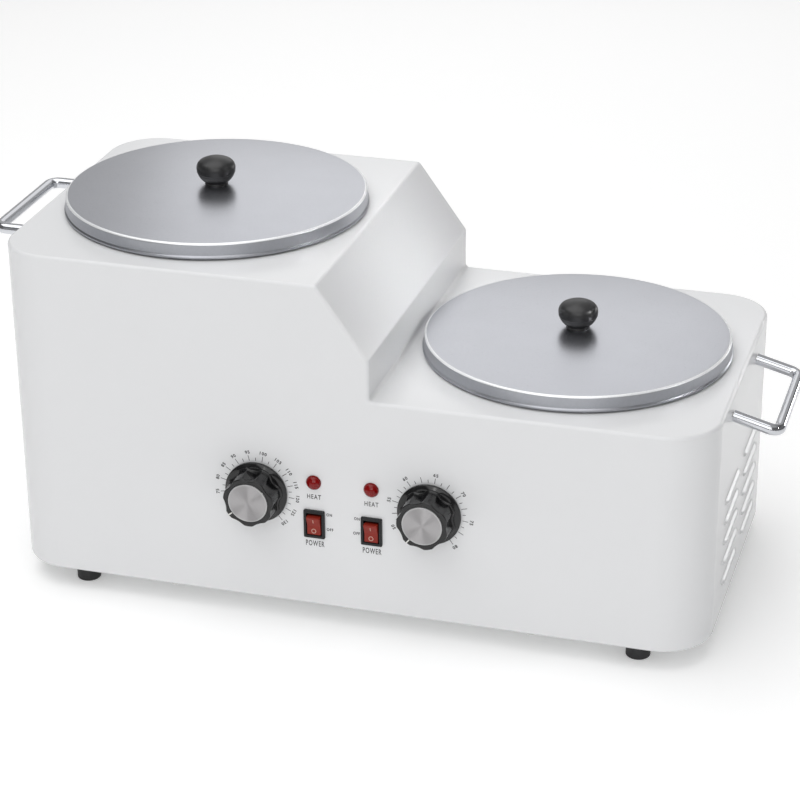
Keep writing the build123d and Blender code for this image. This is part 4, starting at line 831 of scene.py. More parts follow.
@dataclass(frozen=True)
class Lid:
    """Domed lid with a deep skirt and a rolled lip, and its knob."""

    side: Side
    wall: float = 0.0012
    lip: float = 0.0013
    lift: float = 0.0014
    edge_height: float = 0.012
    crown: float = 0.004
    edge_round: float = 0.0018
    taper: float = 0.0005
    dome_spans: int = 30
    flare_height: float = 0.0022
    flare_round: float = 0.0008
    lip_height: float = 0.0012
    lip_round: float = 0.0003
    lip_inner_round: float = 0.0002
    inner_drop: float = 0.0016
    inner_round: float = 0.0006
    inner_step: float = 0.004
    steps: int = 256
    # Width and depth of the band along the lid's upper edge that gets the painted highlight
    bright_width: float = 0.0019
    bright_depth: float = 0.0013
    knob_radius: float = 0.0138
    knob_height: float = 0.020
    knob_middle: float = 0.012
    knob_neck: float = 0.0079
    knob_belly: float = 0.0123
    knob_shoulder: float = 0.006
    parting_drop: float = 0.003
    parting_ridge: float = 0.00018
    parting_width: float = 0.0003
    knob_foot_flare: float = 0.0003
    knob_seat: float = 0.0026
    knob_steps: int = 96

    @property
    def body(self) -> str:
        """Body that the lid moves with."""
        return f"{self.side.label}_lid_body"

    @property
    def box(self) -> NodeBox:
        """Box of the lid's node."""
        return NodeBox.of(f"{self.side.label}_lid")

    @property
    def place(self) -> Place:
        """Middle of the lid, at the height of the casing's top."""
        middle = self.box.middle
        return Place(Vector((middle.x, middle.y, self.box.low.z - self.lift)))

    @property
    def radius(self) -> float:
        """Radius of the lid's upper edge."""
        return self.box.size.x / 2 - self.lip

    def height(self, radius: float) -> float:
        """Height of the dome's outside at a radius."""
        ball = (self.radius**2 + self.crown**2) / (2 * self.crown)
        return self.edge_height + self.crown - (ball - math.sqrt(ball**2 - radius**2))

    def build(self) -> None:
        """Make the disc, the knob and dress both."""
        edge, top = self.radius, self.height
        radii = [edge * i / self.dome_spans for i in range(self.dome_spans)]
        outside = [(radius, top(radius)) for radius in radii]
        inner = edge - self.inner_step
        outer = rounded(
            [
                (*outside[-1], 0),
                (edge, top(edge), self.edge_round),
                (edge + self.taper, self.lift + self.flare_height, self.flare_round),
                (edge + self.lip, self.lift + self.lip_height, self.lip_round),
                (edge + self.lip, self.lift, self.lip_round),
                (edge + self.taper - self.wall, self.lift, self.lip_inner_round),
                (edge - self.wall, top(edge) - self.inner_drop, self.inner_round),
                (inner, top(inner) - self.wall, 0),
            ]
        )
        under = [(r, h - self.wall) for r, h in reversed(outside[:-1])]
        rings = outside[:-1] + outer + under
        cover = as_object(lathe(rings, self.place, self.steps), f"{self.side.label}_lid_disc")
        middle, painted_highlight_from = self.place.origin, top(edge) - self.bright_depth
        # Faces of the rounded upper edge get the painted highlight, and the skirt and lip below it get the
        # painted shade
        for face in cover.data.polygons:
            spot = face.center - middle
            if math.hypot(spot.x, spot.y) > edge - self.bright_width:
                face.material_index = 1 if spot.z > painted_highlight_from else 2
        # The lid's metal, its painted highlight on the upper edge and its painted shade on the skirt
        finishes = [LID_METAL, LID_PAINTED_HIGHLIGHT, LID_SKIRT_PAINTED_SHADE]
        fit_piece(cover, self.body, finishes, [f"{self.side.label}_lid"])
        self.build_knob()

    def build_knob(self) -> None:
        """Make the turned black knob on the lid's middle."""
        belly = self.knob_radius - self.knob_belly
        low_angle = math.degrees(math.acos((self.knob_neck - belly) / self.knob_belly))
        lower = arc(self.knob_belly, -low_angle, 0, (belly, self.knob_middle), 14)
        dome = domed(self.knob_radius, self.knob_shoulder, self.knob_height - self.knob_middle, (10, 14))
        upper = [(radius, self.knob_middle + height) for radius, height in dome]
        seam = self.knob_middle - self.parting_drop
        ridged = [
            (r + self.parting_ridge * math.exp(-(((h - seam) / self.parting_width) ** 2)), h)
            for r, h in self.denser(lower)
        ]
        profile = [(0, 0), (self.knob_neck + self.knob_foot_flare, 0)] + ridged + upper[1:]
        base = self.place.origin + Vector((0, 0, self.height(self.knob_seat)))
        knob = as_object(lathe(profile, Place(base), self.knob_steps), f"{self.side.label}_lid_grip")
        fit_piece(knob, self.body, [GRIP_BLACK], [f"{self.side.label}_lid_knob"])

    def denser(self, points: list[Point], spans: int = 4) -> list[Point]:
        """The same line with several spans for each one."""
        dense = [
            tuple(Vector(start).lerp(Vector(end), i / spans))
            for start, end in zip(points, points[1:])
            for i in range(spans)
        ]
        return dense + [points[-1]]


@dataclass(frozen=True)
class Vessel:
    """Well and lift-out pot of one half, with the studs under the well."""

    side: Side
    wall: float = 0.0015
    pot_wall: float = 0.0012
    well_radius: float = 0.091
    flange_width: float = 0.013
    well_corner: float = 0.008
    flange_root: float = 0.0004
    flange_under: float = 0.0003
    flange_edge: float = 0.0006
    mouth: float = 0.001
    stud: float = 0.012
    stud_radius: float = 0.003
    small_stud: float = 0.006
    small_stud_radius: float = 0.0015
    small_stud_offset: float = 0.048
    small_stud_reach: float = 0.013
    stud_steps: int = 32
    pot_clearance: float = 0.005
    pot_corner: float = 0.010
    shoulder_width: float = 0.012
    shoulder_gap: float = 0.0003
    shoulder_round: float = 0.0016
    pot_round: float = 0.0006
    bead: float = 0.0014
    bead_height: float = 0.0018
    bead_round: float = 0.0008
    bead_root: float = 0.0003
    steps: int = 192

    def pin(self, foot: Vector, radius: float, length: float) -> bmesh.types.BMesh:
        """Upright round pin that stands on a point and ends inside the well's floor."""
        return disc(radius, length + self.wall / 2, Place(foot), self.stud_steps)

    def build(self) -> None:
        """Make the well and the pot and dress them."""
        well = NodeBox.of(f"{self.side.label}_well")
        axis = Vector((well.middle.x, well.middle.y, 0))
        self.build_well(well, axis)
        self.build_pot(well.high.z, axis)

    def build_well(self, well: NodeBox, axis: Vector) -> None:
        """Make the well with its flange and its studs."""
        floor, top = well.low.z + self.stud, well.high.z
        seat = top - self.wall
        flange = self.well_radius + self.flange_width
        inside = self.well_radius - self.wall
        profile = rounded(
            [
                (0, floor, 0),
                (self.well_radius, floor, self.well_corner),
                (self.well_radius, seat, self.flange_root),
                (flange, seat, self.flange_under),
                (flange, top, self.flange_edge),
                (inside, top, self.mouth),
                (inside, floor + self.wall, self.well_corner - self.wall),
                (0, floor + self.wall, 0),
            ],
            steps=8,
        )
        base = Vector((axis.x, axis.y, well.low.z))
        shapes = [lathe(profile, Place(axis), self.steps), self.pin(base, self.stud_radius, self.stud)]
        for away in (-self.small_stud_reach, self.small_stud_reach):
            spot = base + Vector((0, self.small_stud_offset + away, self.stud - self.small_stud))
            shapes.append(self.pin(spot, self.small_stud_radius, self.small_stud))
        self.fit(merged(shapes), "well", "housing", SPUN_WELL.about(self.side.label, axis))

    def build_pot(self, top: float, axis: Vector) -> None:
        """Make the pot, whose shoulder rests on the well's flange."""
        name = self.side.label
        pot = NodeBox.of(f"{name}_pot")
        radius = self.well_radius - self.pot_clearance
        collar = radius + self.shoulder_width
        rim, floor = pot.high.z, pot.low.z
        shoulder = top + self.shoulder_gap
        wall, tight, wide = self.pot_wall, self.pot_round, self.shoulder_round
        profile = rounded(
            [
                (0, floor, 0),
                (radius, floor, self.pot_corner),
                (radius, shoulder, tight),
                (collar, shoulder, wide),
                (collar, rim - self.bead_height, self.bead_root),
                (collar + self.bead, rim - self.bead_height, tight),
                (collar + self.bead, rim, self.bead_round),
                (collar - wall, rim, tight),
                (collar - wall, shoulder + wall, tight),
                (radius - wall, shoulder + wall, wide),
                (radius - wall, floor + wall, self.pot_corner - wall),
                (0, floor + wall, 0),
            ],
            steps=8,
        )
        shape = lathe(profile, Place(axis), self.steps)
        self.fit(shape, "pot", f"{name}_pot_body", SPUN_POT.about(name, axis))

    def fit(self, shape: bmesh.types.BMesh, kind: str, body: str, finish: Finish) -> None:
        """Turn one pan's shape into its piece and dress it."""
        name = f"{self.side.label}_{kind}"
        fit_piece(as_object(shape, f"{name}_pan"), body, [finish], [name])


@dataclass(frozen=True)
class Handle:
    """Carry handle bent from chromed round rod."""

    side: Side
    rod: float = 0.004
    centres: float = 0.096
    bend_radius: float = 0.007
    bend_steps: int = 10

    def build(self) -> None:
        """Make the rod along its path and dress it."""
        name = self.side.label
        box = NodeBox.of(f"{name}_handle")
        wall = box.low.x if self.side is Side.RIGHT else box.high.x
        bar_x = (box.high.x - self.rod) if self.side is Side.RIGHT else (box.low.x + self.rod)
        root_z = box.high.z - self.rod * self.root_share(box)
        bar_z = box.low.z + self.rod
        near, far = box.middle.y - self.centres / 2, box.middle.y + self.centres / 2
        corners = [
            Vector((wall, near, root_z)),
            Vector((bar_x, near, bar_z)),
            Vector((bar_x, far, bar_z)),
            Vector((wall, far, root_z)),
        ]
        path = self.bent(corners)
        piece = as_object(self.tube(path), f"{name}_handle_rod")
        fit_piece(piece, "housing", [CHROME], [f"{name}_handle"])

    def root_share(self, box: NodeBox) -> float:
        """How far under the box's top the rod's axis meets the wall, in radii of the rod."""
        drop = box.size.z - 2 * self.rod
        run = box.size.x - self.rod
        return 1 / math.cos(math.atan2(drop, run))

    def bent(self, corners: Sequence[Vector]) -> list[Vector]:
        """Points along the path, with its two corners bent round."""
        path = [corners[0]]
        for before, here, after in zip(corners, corners[1:], corners[2:]):
            path += bend(before, here, after, self.bend_radius, self.bend_steps)
        return path + [corners[-1]]

    def tube(self, path: Sequence[Vector], around: int = 40) -> bmesh.types.BMesh:
        """Round rod along a path that lies in one plane."""
        shape = bmesh.new()
        normal = (path[1] - path[0]).cross(path[-1] - path[0]).normalized()
        loops = []
        for index, spot in enumerate(path):
            before, after = path[max(index - 1, 0)], path[min(index + 1, len(path) - 1)]
            along = (after - before).normalized()
            if index in (0, len(path) - 1):
                along = Vector((math.copysign(1, along.x), 0, 0))
            beside = along.cross(normal).normalized()
            loop = []
            for step in range(around):
                angle = 2 * math.pi * step / around
                arm = (normal * math.cos(angle) + beside * math.sin(angle)) * self.rod
                loop.append(shape.verts.new(spot + arm))
            loops.append(loop)
        skin(shape, loops)
        shape.faces.new(loops[0])
        shape.faces.new(loops[-1])
        return shape


@dataclass(frozen=True)
class Dial:
    """Thermostat knob: a fluted grip on a round skirt, a spun cap in its front and a white pointer."""

    side: Side
    rest_angle: float
    skirt_radius: float = 0.0223
    skirt_rim: float = 0.002
    skirt_wall: float = 0.002
    skirt_back_round: float = 0.0004
    skirt_front_round: float = 0.0006
    skirt_slope: Point = (0.0016, 0.0006)
    back_depth: float = 0.004
    gap: float = 0.001
    depth: float = 0.0196
    grip_radius: float = 0.0187
    front_share: float = 0.965
    front_fill: float = 0.35
    grip_start: float = 0.0046
    lobes: int = 7
    flute_radius: float = 0.009
    flute_depth: float = 0.0021
    soften: float = 0.0011
    levels: int = 8
    front_round: float = 0.0007
    front_spans: int = 5
    steps: int = 336
    cap_radius: float = 0.0142
    cap_gap: float = 0.0002
    cap_proud: float = 0.0004
    cap_recess: float = 0.0008
    cap_edge: tuple[Point, ...] = ((0.0, 0.0005), (0.0002, 0.0001), (0.0009, 0.0), (0.0012, 0.00015))
    cap_dish: float = 0.0001
    cap_rings: int = 12
    bright_rim: float = 0.0008
    pointer_inner_gap: float = 0.0003
    pointer_outer_gap: float = 0.0002
    pointer_half: float = 0.0004
    pointer_round: float = 0.0002
    pointer_sunk: float = 0.0006
    pointer_thickness: float = 0.0007
    lip: tuple[Point, ...] = (
        (0.0013, -0.0004), (0.0013, 0.0001), (0.00125, 0.0004), (0.0011, 0.00068), (0.00088, 0.0009),
        (0.00062, 0.00102), (0.00035, 0.00108), (0.00015, 0.00118), (0.00004, 0.0014), (0.0, 0.0018),
    )

    def outline(self, angle: float) -> float:
        """Radius of the fluted outline at an angle, before it tapers."""
        pitch = 2 * math.pi / self.lobes
        from_lobe = (angle - math.radians(self.rest_angle) + pitch / 2) % pitch - pitch / 2
        from_flute = pitch / 2 - abs(from_lobe)
        middle = self.grip_radius + self.flute_radius - self.flute_depth
        room = self.flute_radius**2 - (middle * math.sin(from_flute)) ** 2
        flute = middle * math.cos(from_flute) - math.sqrt(max(room, 0.0))
        near = max(self.soften - abs(self.grip_radius - flute), 0.0) / self.soften
        return min(self.grip_radius, flute) - near**2 * self.soften / 4

    def ring(self, share: float, inset: float = 0.0, fill: float = 0.0) -> Callable[[float], float]:
        """Radius by angle of one level of the grip.

        Args:
            share: scale of the outline.
            inset: how far it is drawn in.
            fill: share of each flute's depth that is filled.

        Returns:
            A function from angle to radius.
        """
        return lambda angle: (self.outline(angle) * (1 - fill) + self.grip_radius * fill) * share - inset

    def build(self) -> None:
        """Make the knob, its cap and its pointer and dress them."""
        name = self.side.label
        body = f"{name}_dial"
        middle = NodeBox.of(f"{name}_dial_knob").middle
        place = on_panel(middle.x, middle.z)
        slope_out, slope_drop = self.skirt_slope
        skirt = rounded(
            [
                (self.skirt_radius - self.skirt_wall, self.gap, 0),
                (self.skirt_radius, self.gap, self.skirt_back_round),
                (self.skirt_radius, self.gap + self.skirt_rim, self.skirt_front_round),
                (self.grip_radius + slope_out, self.grip_start - slope_drop, 0),
            ]
        )
        rings: list[Ring] = [(0, self.back_depth), (self.skirt_radius - self.skirt_wall, self.back_depth)]
        rings += skirt
        rings += [(self.ring(1.0, -out), self.grip_start + up) for out, up in self.lip]
        front_start = self.depth - self.front_round
        grip_foot = self.grip_start + self.lip[-1][1]
        for i in range(1, self.levels + 1):
            height = grip_foot + (front_start - grip_foot) * i / self.levels
            rise = (height - self.grip_start) / (self.depth - self.grip_start)
            scale = 1 - (1 - self.front_share) * rise
            rings.append((self.ring(scale, 0.0, self.front_fill * rise), height))
        for inward, up in arc(self.front_round, 0, 90, spans=self.front_spans)[1:]:
            front = self.ring(self.front_share, self.front_round - inward, self.front_fill)
            rings.append((front, front_start + up))
        recess, floor = self.cap_radius + self.cap_gap, self.depth - self.cap_recess
        rings += [(recess, self.depth), (recess, floor), (0, floor)]
        knob = as_object(lathe(rings, place, self.steps), f"{name}_dial_grip")
        fit_piece(knob, body, [BAKELITE], [f"{name}_dial_knob"])
        self.build_cap(place, body)
        self.build_pointer(place, body)

    def build_cap(self, place: Place, body: str) -> None:
        """Make the spun disc with its bright edge."""
        name = self.side.label
        top, floor = self.depth + self.cap_proud, self.depth - self.cap_recess
        edge = self.cap_radius
        rings = [(0, floor), (edge, floor)]
        rings += [(edge - inward, top - down) for inward, down in self.cap_edge]
        face = top - self.cap_edge[-1][1]
        for i in range(self.cap_rings - 2, -1, -1):
            share = i / self.cap_rings
            rings.append((edge * share, face - self.cap_dish * (1 - share)))
        cap = as_object(lathe(rings, place), f"{name}_dial_disc")
        for polygon in cap.data.polygons:
            spot = polygon.center - place.origin
            polygon.material_index = 1 if math.hypot(spot.x, spot.z) > edge - self.bright_rim else 0
        finishes = [SPUN_CAP.about(name, place.origin), POLISHED]
        fit_piece(cap, body, finishes, [f"{name}_dial_cap"])

    def build_pointer(self, place: Place, body: str) -> None:
        """Make the white line on the grip's front, from the cap to the rim."""
        start = self.cap_radius + self.pointer_inner_gap
        end = self.grip_radius * self.front_share - self.pointer_outer_gap
        half, radius = self.pointer_half, self.pointer_round
        corners = [(start, -half, 0), (end, -half, radius), (end, half, radius), (start, half, 0)]
        outline = turned(rounded(corners, True, 3), math.radians(self.rest_angle))
        seat = Place(place.origin + Vector((0, self.pointer_sunk - self.depth, 0)), Facing.FRONT)
        line = as_object(prism(outline, self.pointer_thickness, seat), f"{self.side.label}_dial_pointer")
        fit_piece(line, body, [WHITE_MARK])


@dataclass(frozen=True)
class Scale:
    """Printed ring of marks and numbers round one dial."""

    side: Side
    numbers: tuple[int, ...]
    angles: tuple[float, ...]
    short_marks: tuple[float, ...]
    long_shares: tuple[float, ...]
    mark_start: float = 0.0229
    mark_end: float = 0.0270
    short_end: float = 0.0252
    mark_width: float = 0.0004
    number_radius: float = 0.0293
    number_height: float = 0.0025

    def marks(self) -> list[tuple[float, float]]:
        """Angle in degrees and outer radius of each mark."""
        found = [(angle, self.mark_end) for angle in self.angles]
        for start, end in zip(self.angles, self.angles[1:]):
            for share in self.short_marks:
                reach = self.mark_end if share in self.long_shares else self.short_end
                found.append((start + (end - start) * share, reach))
        return found


@dataclass(frozen=True)
class Lettering:
    """Everything printed on the front panel: both scales and the generic words."""

    scales: tuple[Scale, ...]
    ink: float = 0.00004
    weight: float = 0.012
    small_weight: float = 0.030
    heat_height: float = 0.0035
    heat_narrowing: float = 0.73
    power_height: float = 0.0043
    power_narrowing: float = 0.58
    small_height: float = 0.0023
    small_narrowing: float = 0.8
    heat_drop: float = 0.0110
    power_drop: float = 0.0154
    switch_words: tuple[tuple[str, float], ...] = (("ON", 0.0080), ("OFF", -0.0033))
    word_gap: float = 0.0098
    letter_shift: float = 0.0004
    letter_spacing: float = 1.22
    letter_depth: float = 0.5
    curve_steps: int = 3

    def words(self) -> list[tuple[str, Point, float, float]]:
        """Each word with its middle on the panel, its height and how far it is narrowed."""
        found = []
        for side in Side:
            lamp = NodeBox.of(f"{side.label}_lamp_lens").middle
            switch = NodeBox.of(f"{side.label}_switch").middle
            heat, power = (lamp.x, lamp.z - self.heat_drop), (switch.x, switch.z - self.power_drop)
            found.append(("HEAT", heat, self.heat_height, self.heat_narrowing))
            found.append(("POWER", power, self.power_height, self.power_narrowing))
            for word, up in self.switch_words:
                across = switch.x - side.value * (self.word_gap + self.letter_shift * len(word))
                found.append((word, (across, switch.z + up), self.small_height, self.small_narrowing))
        return found

    def letters(
        self, text: str, height: float, middle: Point, narrowing: float, turn: float = 0.0
    ) -> bmesh.types.BMesh:
        """Thin solid letters on the panel.

        Args:
            text: the characters.
            height: height of a capital.
            middle: x and z of their middle.
            narrowing: their width as a share of the font's own.
            turn: angle in radians by which they are turned on the panel.

        Returns:
            The letters' mesh, in the row frame.
        """
        curve = bpy.data.curves.new("letters", "FONT")
        curve.body = text
        curve.extrude = self.letter_depth
        curve.offset = self.small_weight if height < self.heat_height else self.weight
        curve.resolution_u = self.curve_steps
        curve.space_character = self.letter_spacing
        holder = bpy.data.objects.new("letters", curve)
        bpy.context.scene.collection.objects.link(holder)
        graph = bpy.context.evaluated_depsgraph_get()
        mesh = bpy.data.meshes.new_from_object(holder.evaluated_get(graph))
        shape = bmesh.new()
        shape.from_mesh(mesh)
        xs = [vertex.co.x for vertex in shape.verts]
        ys = [vertex.co.y for vertex in shape.verts]
        scale = height / (max(ys) - min(ys))
        centre = Vector(((max(xs) + min(xs)) / 2, (max(ys) + min(ys)) / 2, 0))
        matrix = on_panel(*middle).matrix() @ Matrix.Rotation(turn, 4, "Z")
        for vertex in shape.verts:
            flat = (vertex.co - centre) * scale
            flat.x *= narrowing
            flat.z = self.ink if vertex.co.z > 0 else 0.0
            vertex.co = matrix @ flat
        bmesh.ops.remove_doubles(shape, verts=shape.verts, dist=JOINED)
        bpy.data.objects.remove(holder)
        bpy.data.curves.remove(curve)
        bpy.data.meshes.remove(mesh)
        return shape

    def mark(self, scale: Scale, angle: float, end: float, place: Place) -> bmesh.types.BMesh:
        """One printed mark of a scale, along a radius."""
        start, half = scale.mark_start, scale.mark_width / 2
        corners = [(start, -half), (end, -half), (end, half), (start, half)]
        return prism(turned(corners, math.radians(angle)), self.ink, place)

    def build(self) -> None:
        """Make the scales and the words as thin printed pieces."""
        for scale in self.scales:
            centre = NodeBox.of(f"{scale.side.label}_dial_knob").middle
            place = on_panel(centre.x, centre.z)
            shapes = [self.mark(scale, angle, end, place) for angle, end in scale.marks()]
            for number, angle in zip(scale.numbers, scale.angles):
                turn = math.radians(angle)
                across, up = turned([(scale.number_radius, 0)], turn)[0]
                spot = (centre.x + across, centre.z + up)
                upright = turn - math.pi / 2
                shapes.append(self.letters(str(number), scale.number_height, spot, 1.0, upright))
            piece = as_object(merged(shapes), f"{scale.side.label}_dial_scale")
            fit_piece(piece, "housing", [PRINT_INK])
        words = merged(self.letters(word, high, spot, narrow) for word, spot, high, narrow in self.words())
        fit_piece(as_object(words, "panel_words"), "housing", [PRINT_INK])


@dataclass(frozen=True)
class Switch:
    """Red rocker with its I and O marks; its black housing is the frame's own."""

    side: Side
    width: float = 0.0096
    pivot_depth: float = 0.001
    tilt: float = 10.0
    middle_proud: float = 0.0024
    end_proud: float = 0.0036
    half_length: float = 0.0069
    hollow: float = 0.004
    flank: Point = (0.002, 0.0004)
    heel: tuple[Corner, ...] = ((-0.0035, 0.005, 0.001), (-0.0065, 0.0022, 0.001))
    edge_round: float = 0.0004
    edge_spans: int = 4
    edge_angle: float = 50
    mark_at: float = 0.0040
    ring_radius: float = 0.0015
    line: float = 0.00042
    bar_length: float = 0.0030
    mark_thickness: float = 0.00005
    mark_lift: float = 0.00002
    ring_steps: int = 48

    def build(self) -> None:
        """Make the rocker and its marks and dress them."""
        name = self.side.label
        switch = NodeBox.of(f"{name}_switch").middle
        pivot = on_panel(switch.x, switch.z, -self.pivot_depth).origin
        frame = Matrix.Translation(pivot) @ Matrix.Rotation(math.radians(self.tilt), 4, "X")
        end, middle = self.end_proud + self.pivot_depth, self.middle_proud + self.pivot_depth
        half = self.half_length
        flank_out, flank_up = self.flank
        upper = [(end, half, 0), (flank_out, half + flank_up, 0), *self.heel]
        lower = [(out, -up, radius) for out, up, radius in reversed(upper)]
        section = rounded([(middle, 0, self.hollow), *upper, *lower], True)
        shape = prism(section, self.width, Place(Vector((self.width / 2, 0, 0)), Facing.LEFT))
        bmesh.ops.transform(shape, matrix=frame, verts=shape.verts)
        round_edges(shape, sharp_edges(shape, self.edge_angle), self.edge_round, self.edge_spans)
        rocker = as_object(shape, f"{name}_rocker_key")
        body = f"{name}_rocker_body"
        fit_piece(rocker, body, [RED_ROCKER], [f"{name}_rocker"])
        self.build_marks(frame, middle, end, body)

    def build_marks(self, frame: Matrix, middle: float, end: float, body: str) -> None:
        """Make the bar and the ring on the rocker's two faces."""
        half, thick = self.half_length, self.mark_thickness
        lean = math.atan2(end - middle, half)
        out = middle + (end - middle) * self.mark_at / half + self.mark_lift
        inner, outer = self.ring_radius - self.line / 2, self.ring_radius + self.line / 2
        rings = [(inner, 0), (outer, 0), (outer, thick), (inner, thick)]
        bar = prism(rectangle(self.line / 2, self.bar_length / 2), thick, ORIGIN)
        ring = lathe(rings, ORIGIN, self.ring_steps, closed=True)
        for way, shape in ((1, bar), (-1, ring)):
            seat = Matrix.Translation(Vector((0, -out, way * self.mark_at)))
            face = frame @ seat @ Matrix.Rotation(math.pi / 2 + way * lean, 4, "X")
            bmesh.ops.transform(shape, matrix=face, verts=shape.verts)
        marks = as_object(merged([bar, ring]), f"{self.side.label}_rocker_marks")
        fit_piece(marks, body, [PALE_MARK])


@dataclass(frozen=True)
class Lamp:
    """Domed red lens of a pilot lamp."""

    side: Side
    radius: float = 0.005
    flange: float = 0.0003
    flange_height: float = 0.0008
    height: float = 0.0046
    shoulder: float = 0.0024
    stem: float = 0.004
    stem_length: float = 0.006
    steps: int = 72

    def build(self) -> None:
        """Make the lens and dress it."""
        name = self.side.label
        middle = NodeBox.of(f"{name}_lamp_lens").middle
        rings = [(0, -self.stem_length), (self.stem, -self.stem_length), (self.stem, 0)]
        rings += [(self.radius + self.flange, 0), (self.radius + self.flange, self.flange_height)]
        dome = domed(self.radius, self.shoulder, self.height - self.flange_height, (10, 14))
        rings += [(radius, self.flange_height + height) for radius, height in dome]
        lens = as_object(lathe(rings, on_panel(middle.x, middle.z), self.steps), f"{name}_lens")
        fit_piece(lens, "housing", [RED_LENS], [f"{name}_lamp_lens"])


@dataclass(frozen=True)
class Foot:
    """Black rubber foot with a recess for its screw."""

    node: str
    radius: float = 0.0085
    recess: float = 0.0046
    recess_depth: float = 0.006
    shank: float = 0.00215
    recess_round: float = 0.0004
    foot_round: float = 0.001
    top_round: float = 0.0006
    steps: int = 72

    def build(self) -> None:
        """Make the foot and dress it."""
        box = NodeBox.of(self.node)
        place = Place(Vector((box.middle.x, box.middle.y, box.low.z)))
        rings = rounded(
            [
                (self.recess, 0, self.recess_round),
                (self.radius, 0, self.foot_round),
                (self.radius, box.size.z, self.top_round),
                (self.shank, box.size.z, 0),
                (self.shank, self.recess_depth, 0),
                (self.recess, self.recess_depth, 0),
            ],
            closed=True,
        )
        foot = as_object(lathe(rings, place, self.steps, closed=True), f"{self.node}_rubber")
        fit_piece(foot, "housing", [RUBBER], [self.node])


def dress_frame(frame: dict) -> None:
    """Give every frame node that still shows the finish of its material slot."""
    slots = {part["node"]: part["material_slot"] for part in frame["record"]["subparts"]}
    for node, piece in frame["nodes"].items():
        finish = SLOT_FINISHES[slots[node]]
        piece.data.materials.clear()
        piece.data.materials.append(finish.build())
        log.info("%s: frame node in %s", node, finish.name)


# Studio


@dataclass(frozen=True)
class Softbox:
    """One soft light: where it stands, what it looks at, its size, its power and its spread."""

    name: str
    spot: tuple[float, float, float]
    target: tuple[float, float, float]
    size: tuple[float, float]
    power: float
    spread: float = 180.0

    def build(self) -> None:
        """Hang the light."""
        lamp = bpy.data.lights.new(self.name, "AREA")
        lamp.shape = "RECTANGLE"
        lamp.size, lamp.size_y = self.size
        lamp.energy = self.power
        lamp.spread = math.radians(self.spread)
        holder = bpy.data.objects.new(self.name, lamp)
        holder.location = self.spot
        holder.visible_camera = False
        way = Vector(self.target) - Vector(self.spot)
        holder.rotation_euler = way.to_track_quat("-Z", "Y").to_euler()
        bpy.context.scene.collection.objects.link(holder)


@dataclass(frozen=True)
class Viewpoint:
    """Camera that sees the warmer as the photograph does."""

    azimuth: float = 16.705
    elevation: float = 25.2465
    roll: float = -0.4836
    distance: float = 1.6683
    target: tuple[float, float, float] = (0.0399, -0.11625, 0.1803)
    focal_pixels: float = 2519.1
    sensor: float = 36.0
    clip: tuple[float, float] = (0.05, 60.0)

    def build(self) -> None:
        """Set up the camera."""
        lens = bpy.data.cameras.new("camera")
        lens.sensor_width = self.sensor
        lens.lens = self.focal_pixels * self.sensor / PHOTO_SIDE
        lens.clip_start, lens.clip_end = self.clip
        camera = bpy.data.objects.new("camera", lens)
        around, up = math.radians(self.azimuth), math.radians(self.elevation)
        back = Vector((math.sin(around) * math.cos(up), -math.cos(around) * math.cos(up), math.sin(up)))
        camera.location = Vector(self.target) + back * self.distance
        roll = Matrix.Rotation(math.radians(self.roll), 3, "Z")
        camera.rotation_euler = ((-back).to_track_quat("-Z", "Y").to_matrix() @ roll).to_euler()
        bpy.context.scene.collection.objects.link(camera)
        bpy.context.scene.camera = camera


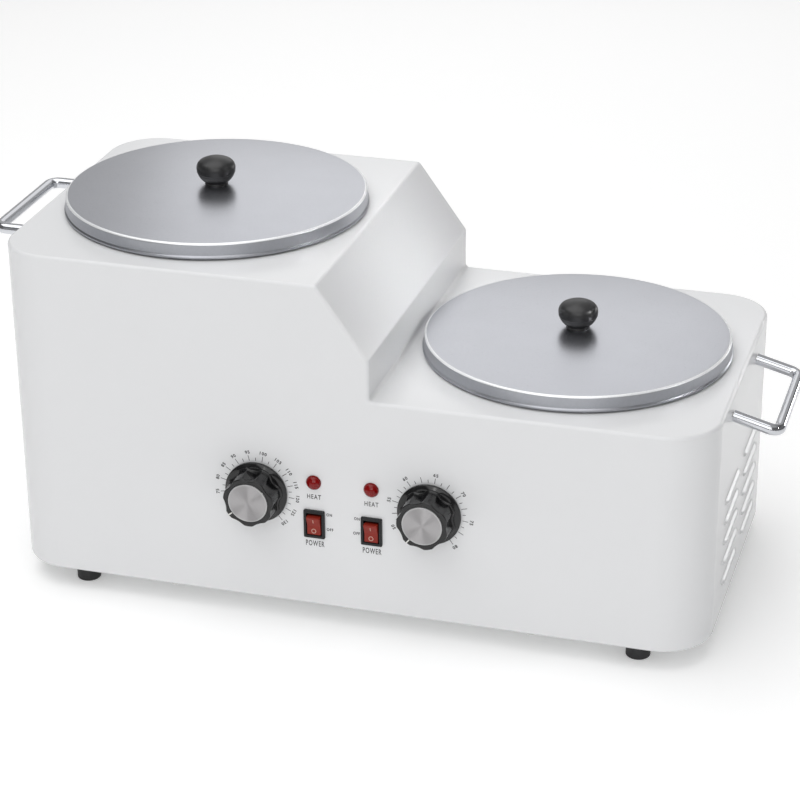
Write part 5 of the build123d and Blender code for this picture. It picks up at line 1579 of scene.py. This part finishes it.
@dataclass(frozen=True)
class Studio:
    """Pale floor, soft lights and a pale surround."""

    floor_radius: float = 14.0
    floor_steps: int = 96
    surround: tuple[tuple[float, float], ...] = (
        (0.0, 0.14), (0.2, 0.17), (0.45, 0.17), (0.62, 0.10), (0.8, 0.42), (1.0, 0.5)
    )
    softboxes: tuple[Softbox, ...] = (
        Softbox("key_softbox", (0.35, -2.1, 1.45), (0, 0, 0.1), (2.2, 1.9), 19.5),
        Softbox("top_softbox", (-0.4, -0.15, 1.9), (-0.1, 0.05, 0), (2.2, 2.0), 21.0),
        Softbox("left_softbox", (-1.2, -1.9, 1.0), (0, 0, 0.1), (0.6, 0.8), 0.3),
        Softbox("back_softbox", (-0.32, 1.5, 1.05), (-0.05, 0, 0.2), (1.0, 1.0), 1.9),
        Softbox("back_fill", (-0.4, 1.62, 1.1), (-0.05, 0, 0.2), (2.6, 1.7), 4.4),
        Softbox("step_light", (1.15, 0.04, 0.8), (0.03, 0.01, 0.2), (0.12, 0.2), 0.045, spread=11.0),
        Softbox("right_spark", (0.75, -2.1, 1.2), (0, 0, 0.1), (0.22, 0.22), 1.4),
        Softbox("ridge_light", (1.21, 1.74, 0.35), (0.25, 0, 0.1), (0.35, 0.3), 2.6),
        Softbox("left_spark", (-0.05, -2.3, 1.2), (0, 0, 0.1), (0.16, 0.16), 0.6),
    )

    def build(self) -> None:
        """Lay the floor, light the surround and hang the lights."""
        floor = as_object(lathe([(0, 0), (self.floor_radius, 0)], ORIGIN, self.floor_steps), "floor")
        floor.modifiers.clear()
        floor.data.materials.append(WHITE_FLOOR.build())
        for softbox in self.softboxes:
            softbox.build()
        self.build_surround()
        bpy.context.scene.view_settings.view_transform = "Standard"

    def build_surround(self) -> None:
        """Light from all round, brightest overhead."""
        world = bpy.data.worlds.new("surround")
        bpy.context.scene.world = world
        world.use_nodes = True
        tree = world.node_tree
        tree.nodes.clear()
        output = tree.nodes.new("ShaderNodeOutputWorld")
        background = tree.nodes.new("ShaderNodeBackground")
        direction = tree.nodes.new("ShaderNodeTexCoord")
        parts = tree.nodes.new("ShaderNodeSeparateXYZ")
        ramp = tree.nodes.new("ShaderNodeValToRGB")
        stops = ramp.color_ramp.elements
        for index, (height, level) in enumerate(self.surround):
            if index < 2:
                stops[index].position = height
            else:
                stops.new(height)
            stops[index].color = (level, level, level, 1)
        tree.links.new(direction.outputs["Generated"], parts.inputs["Vector"])
        tree.links.new(parts.outputs["Z"], ramp.inputs["Fac"])
        tree.links.new(ramp.outputs["Color"], background.inputs["Color"])
        tree.links.new(background.outputs["Background"], output.inputs["Surface"])


LEFT_SCALE = Scale(
    Side.LEFT,
    numbers=tuple(range(75, 135, 5)),
    angles=(188.5, 166.5, 145.3, 124.4, 102.4, 79.6, 57.1, 36.4, 15.6, -5.3, -27.5, -49.1),
    short_marks=(0.5,),
    long_shares=(),
)
RIGHT_SCALE = Scale(
    Side.RIGHT,
    numbers=tuple(range(50, 85, 5)),
    angles=(208.9, 167.5, 126.1, 81.5, 36.8, -6.5, -52.8),
    short_marks=(0.25, 0.5, 0.75),
    long_shares=(0.5,),
)
REST_ANGLES = {Side.LEFT: 217.3, Side.RIGHT: 232.1}
FEET = ("front_left_foot", "back_left_foot", "front_right_foot", "back_right_foot")


def main() -> None:
    """Build the warmer piece by piece, then the studio."""
    logging.basicConfig(level=logging.INFO, format="%(message)s")
    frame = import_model()
    dress_frame(frame)
    Casing().build()
    Lettering((LEFT_SCALE, RIGHT_SCALE)).build()
    for side in Side:
        Lid(side).build()
        Vessel(side).build()
        Handle(side).build()
        Dial(side, REST_ANGLES[side]).build()
        Switch(side).build()
        Lamp(side).build()
    for node in FEET:
        Foot(node).build()
    Studio().build()
    Viewpoint().build()


if __name__ == "__main__":
    main()
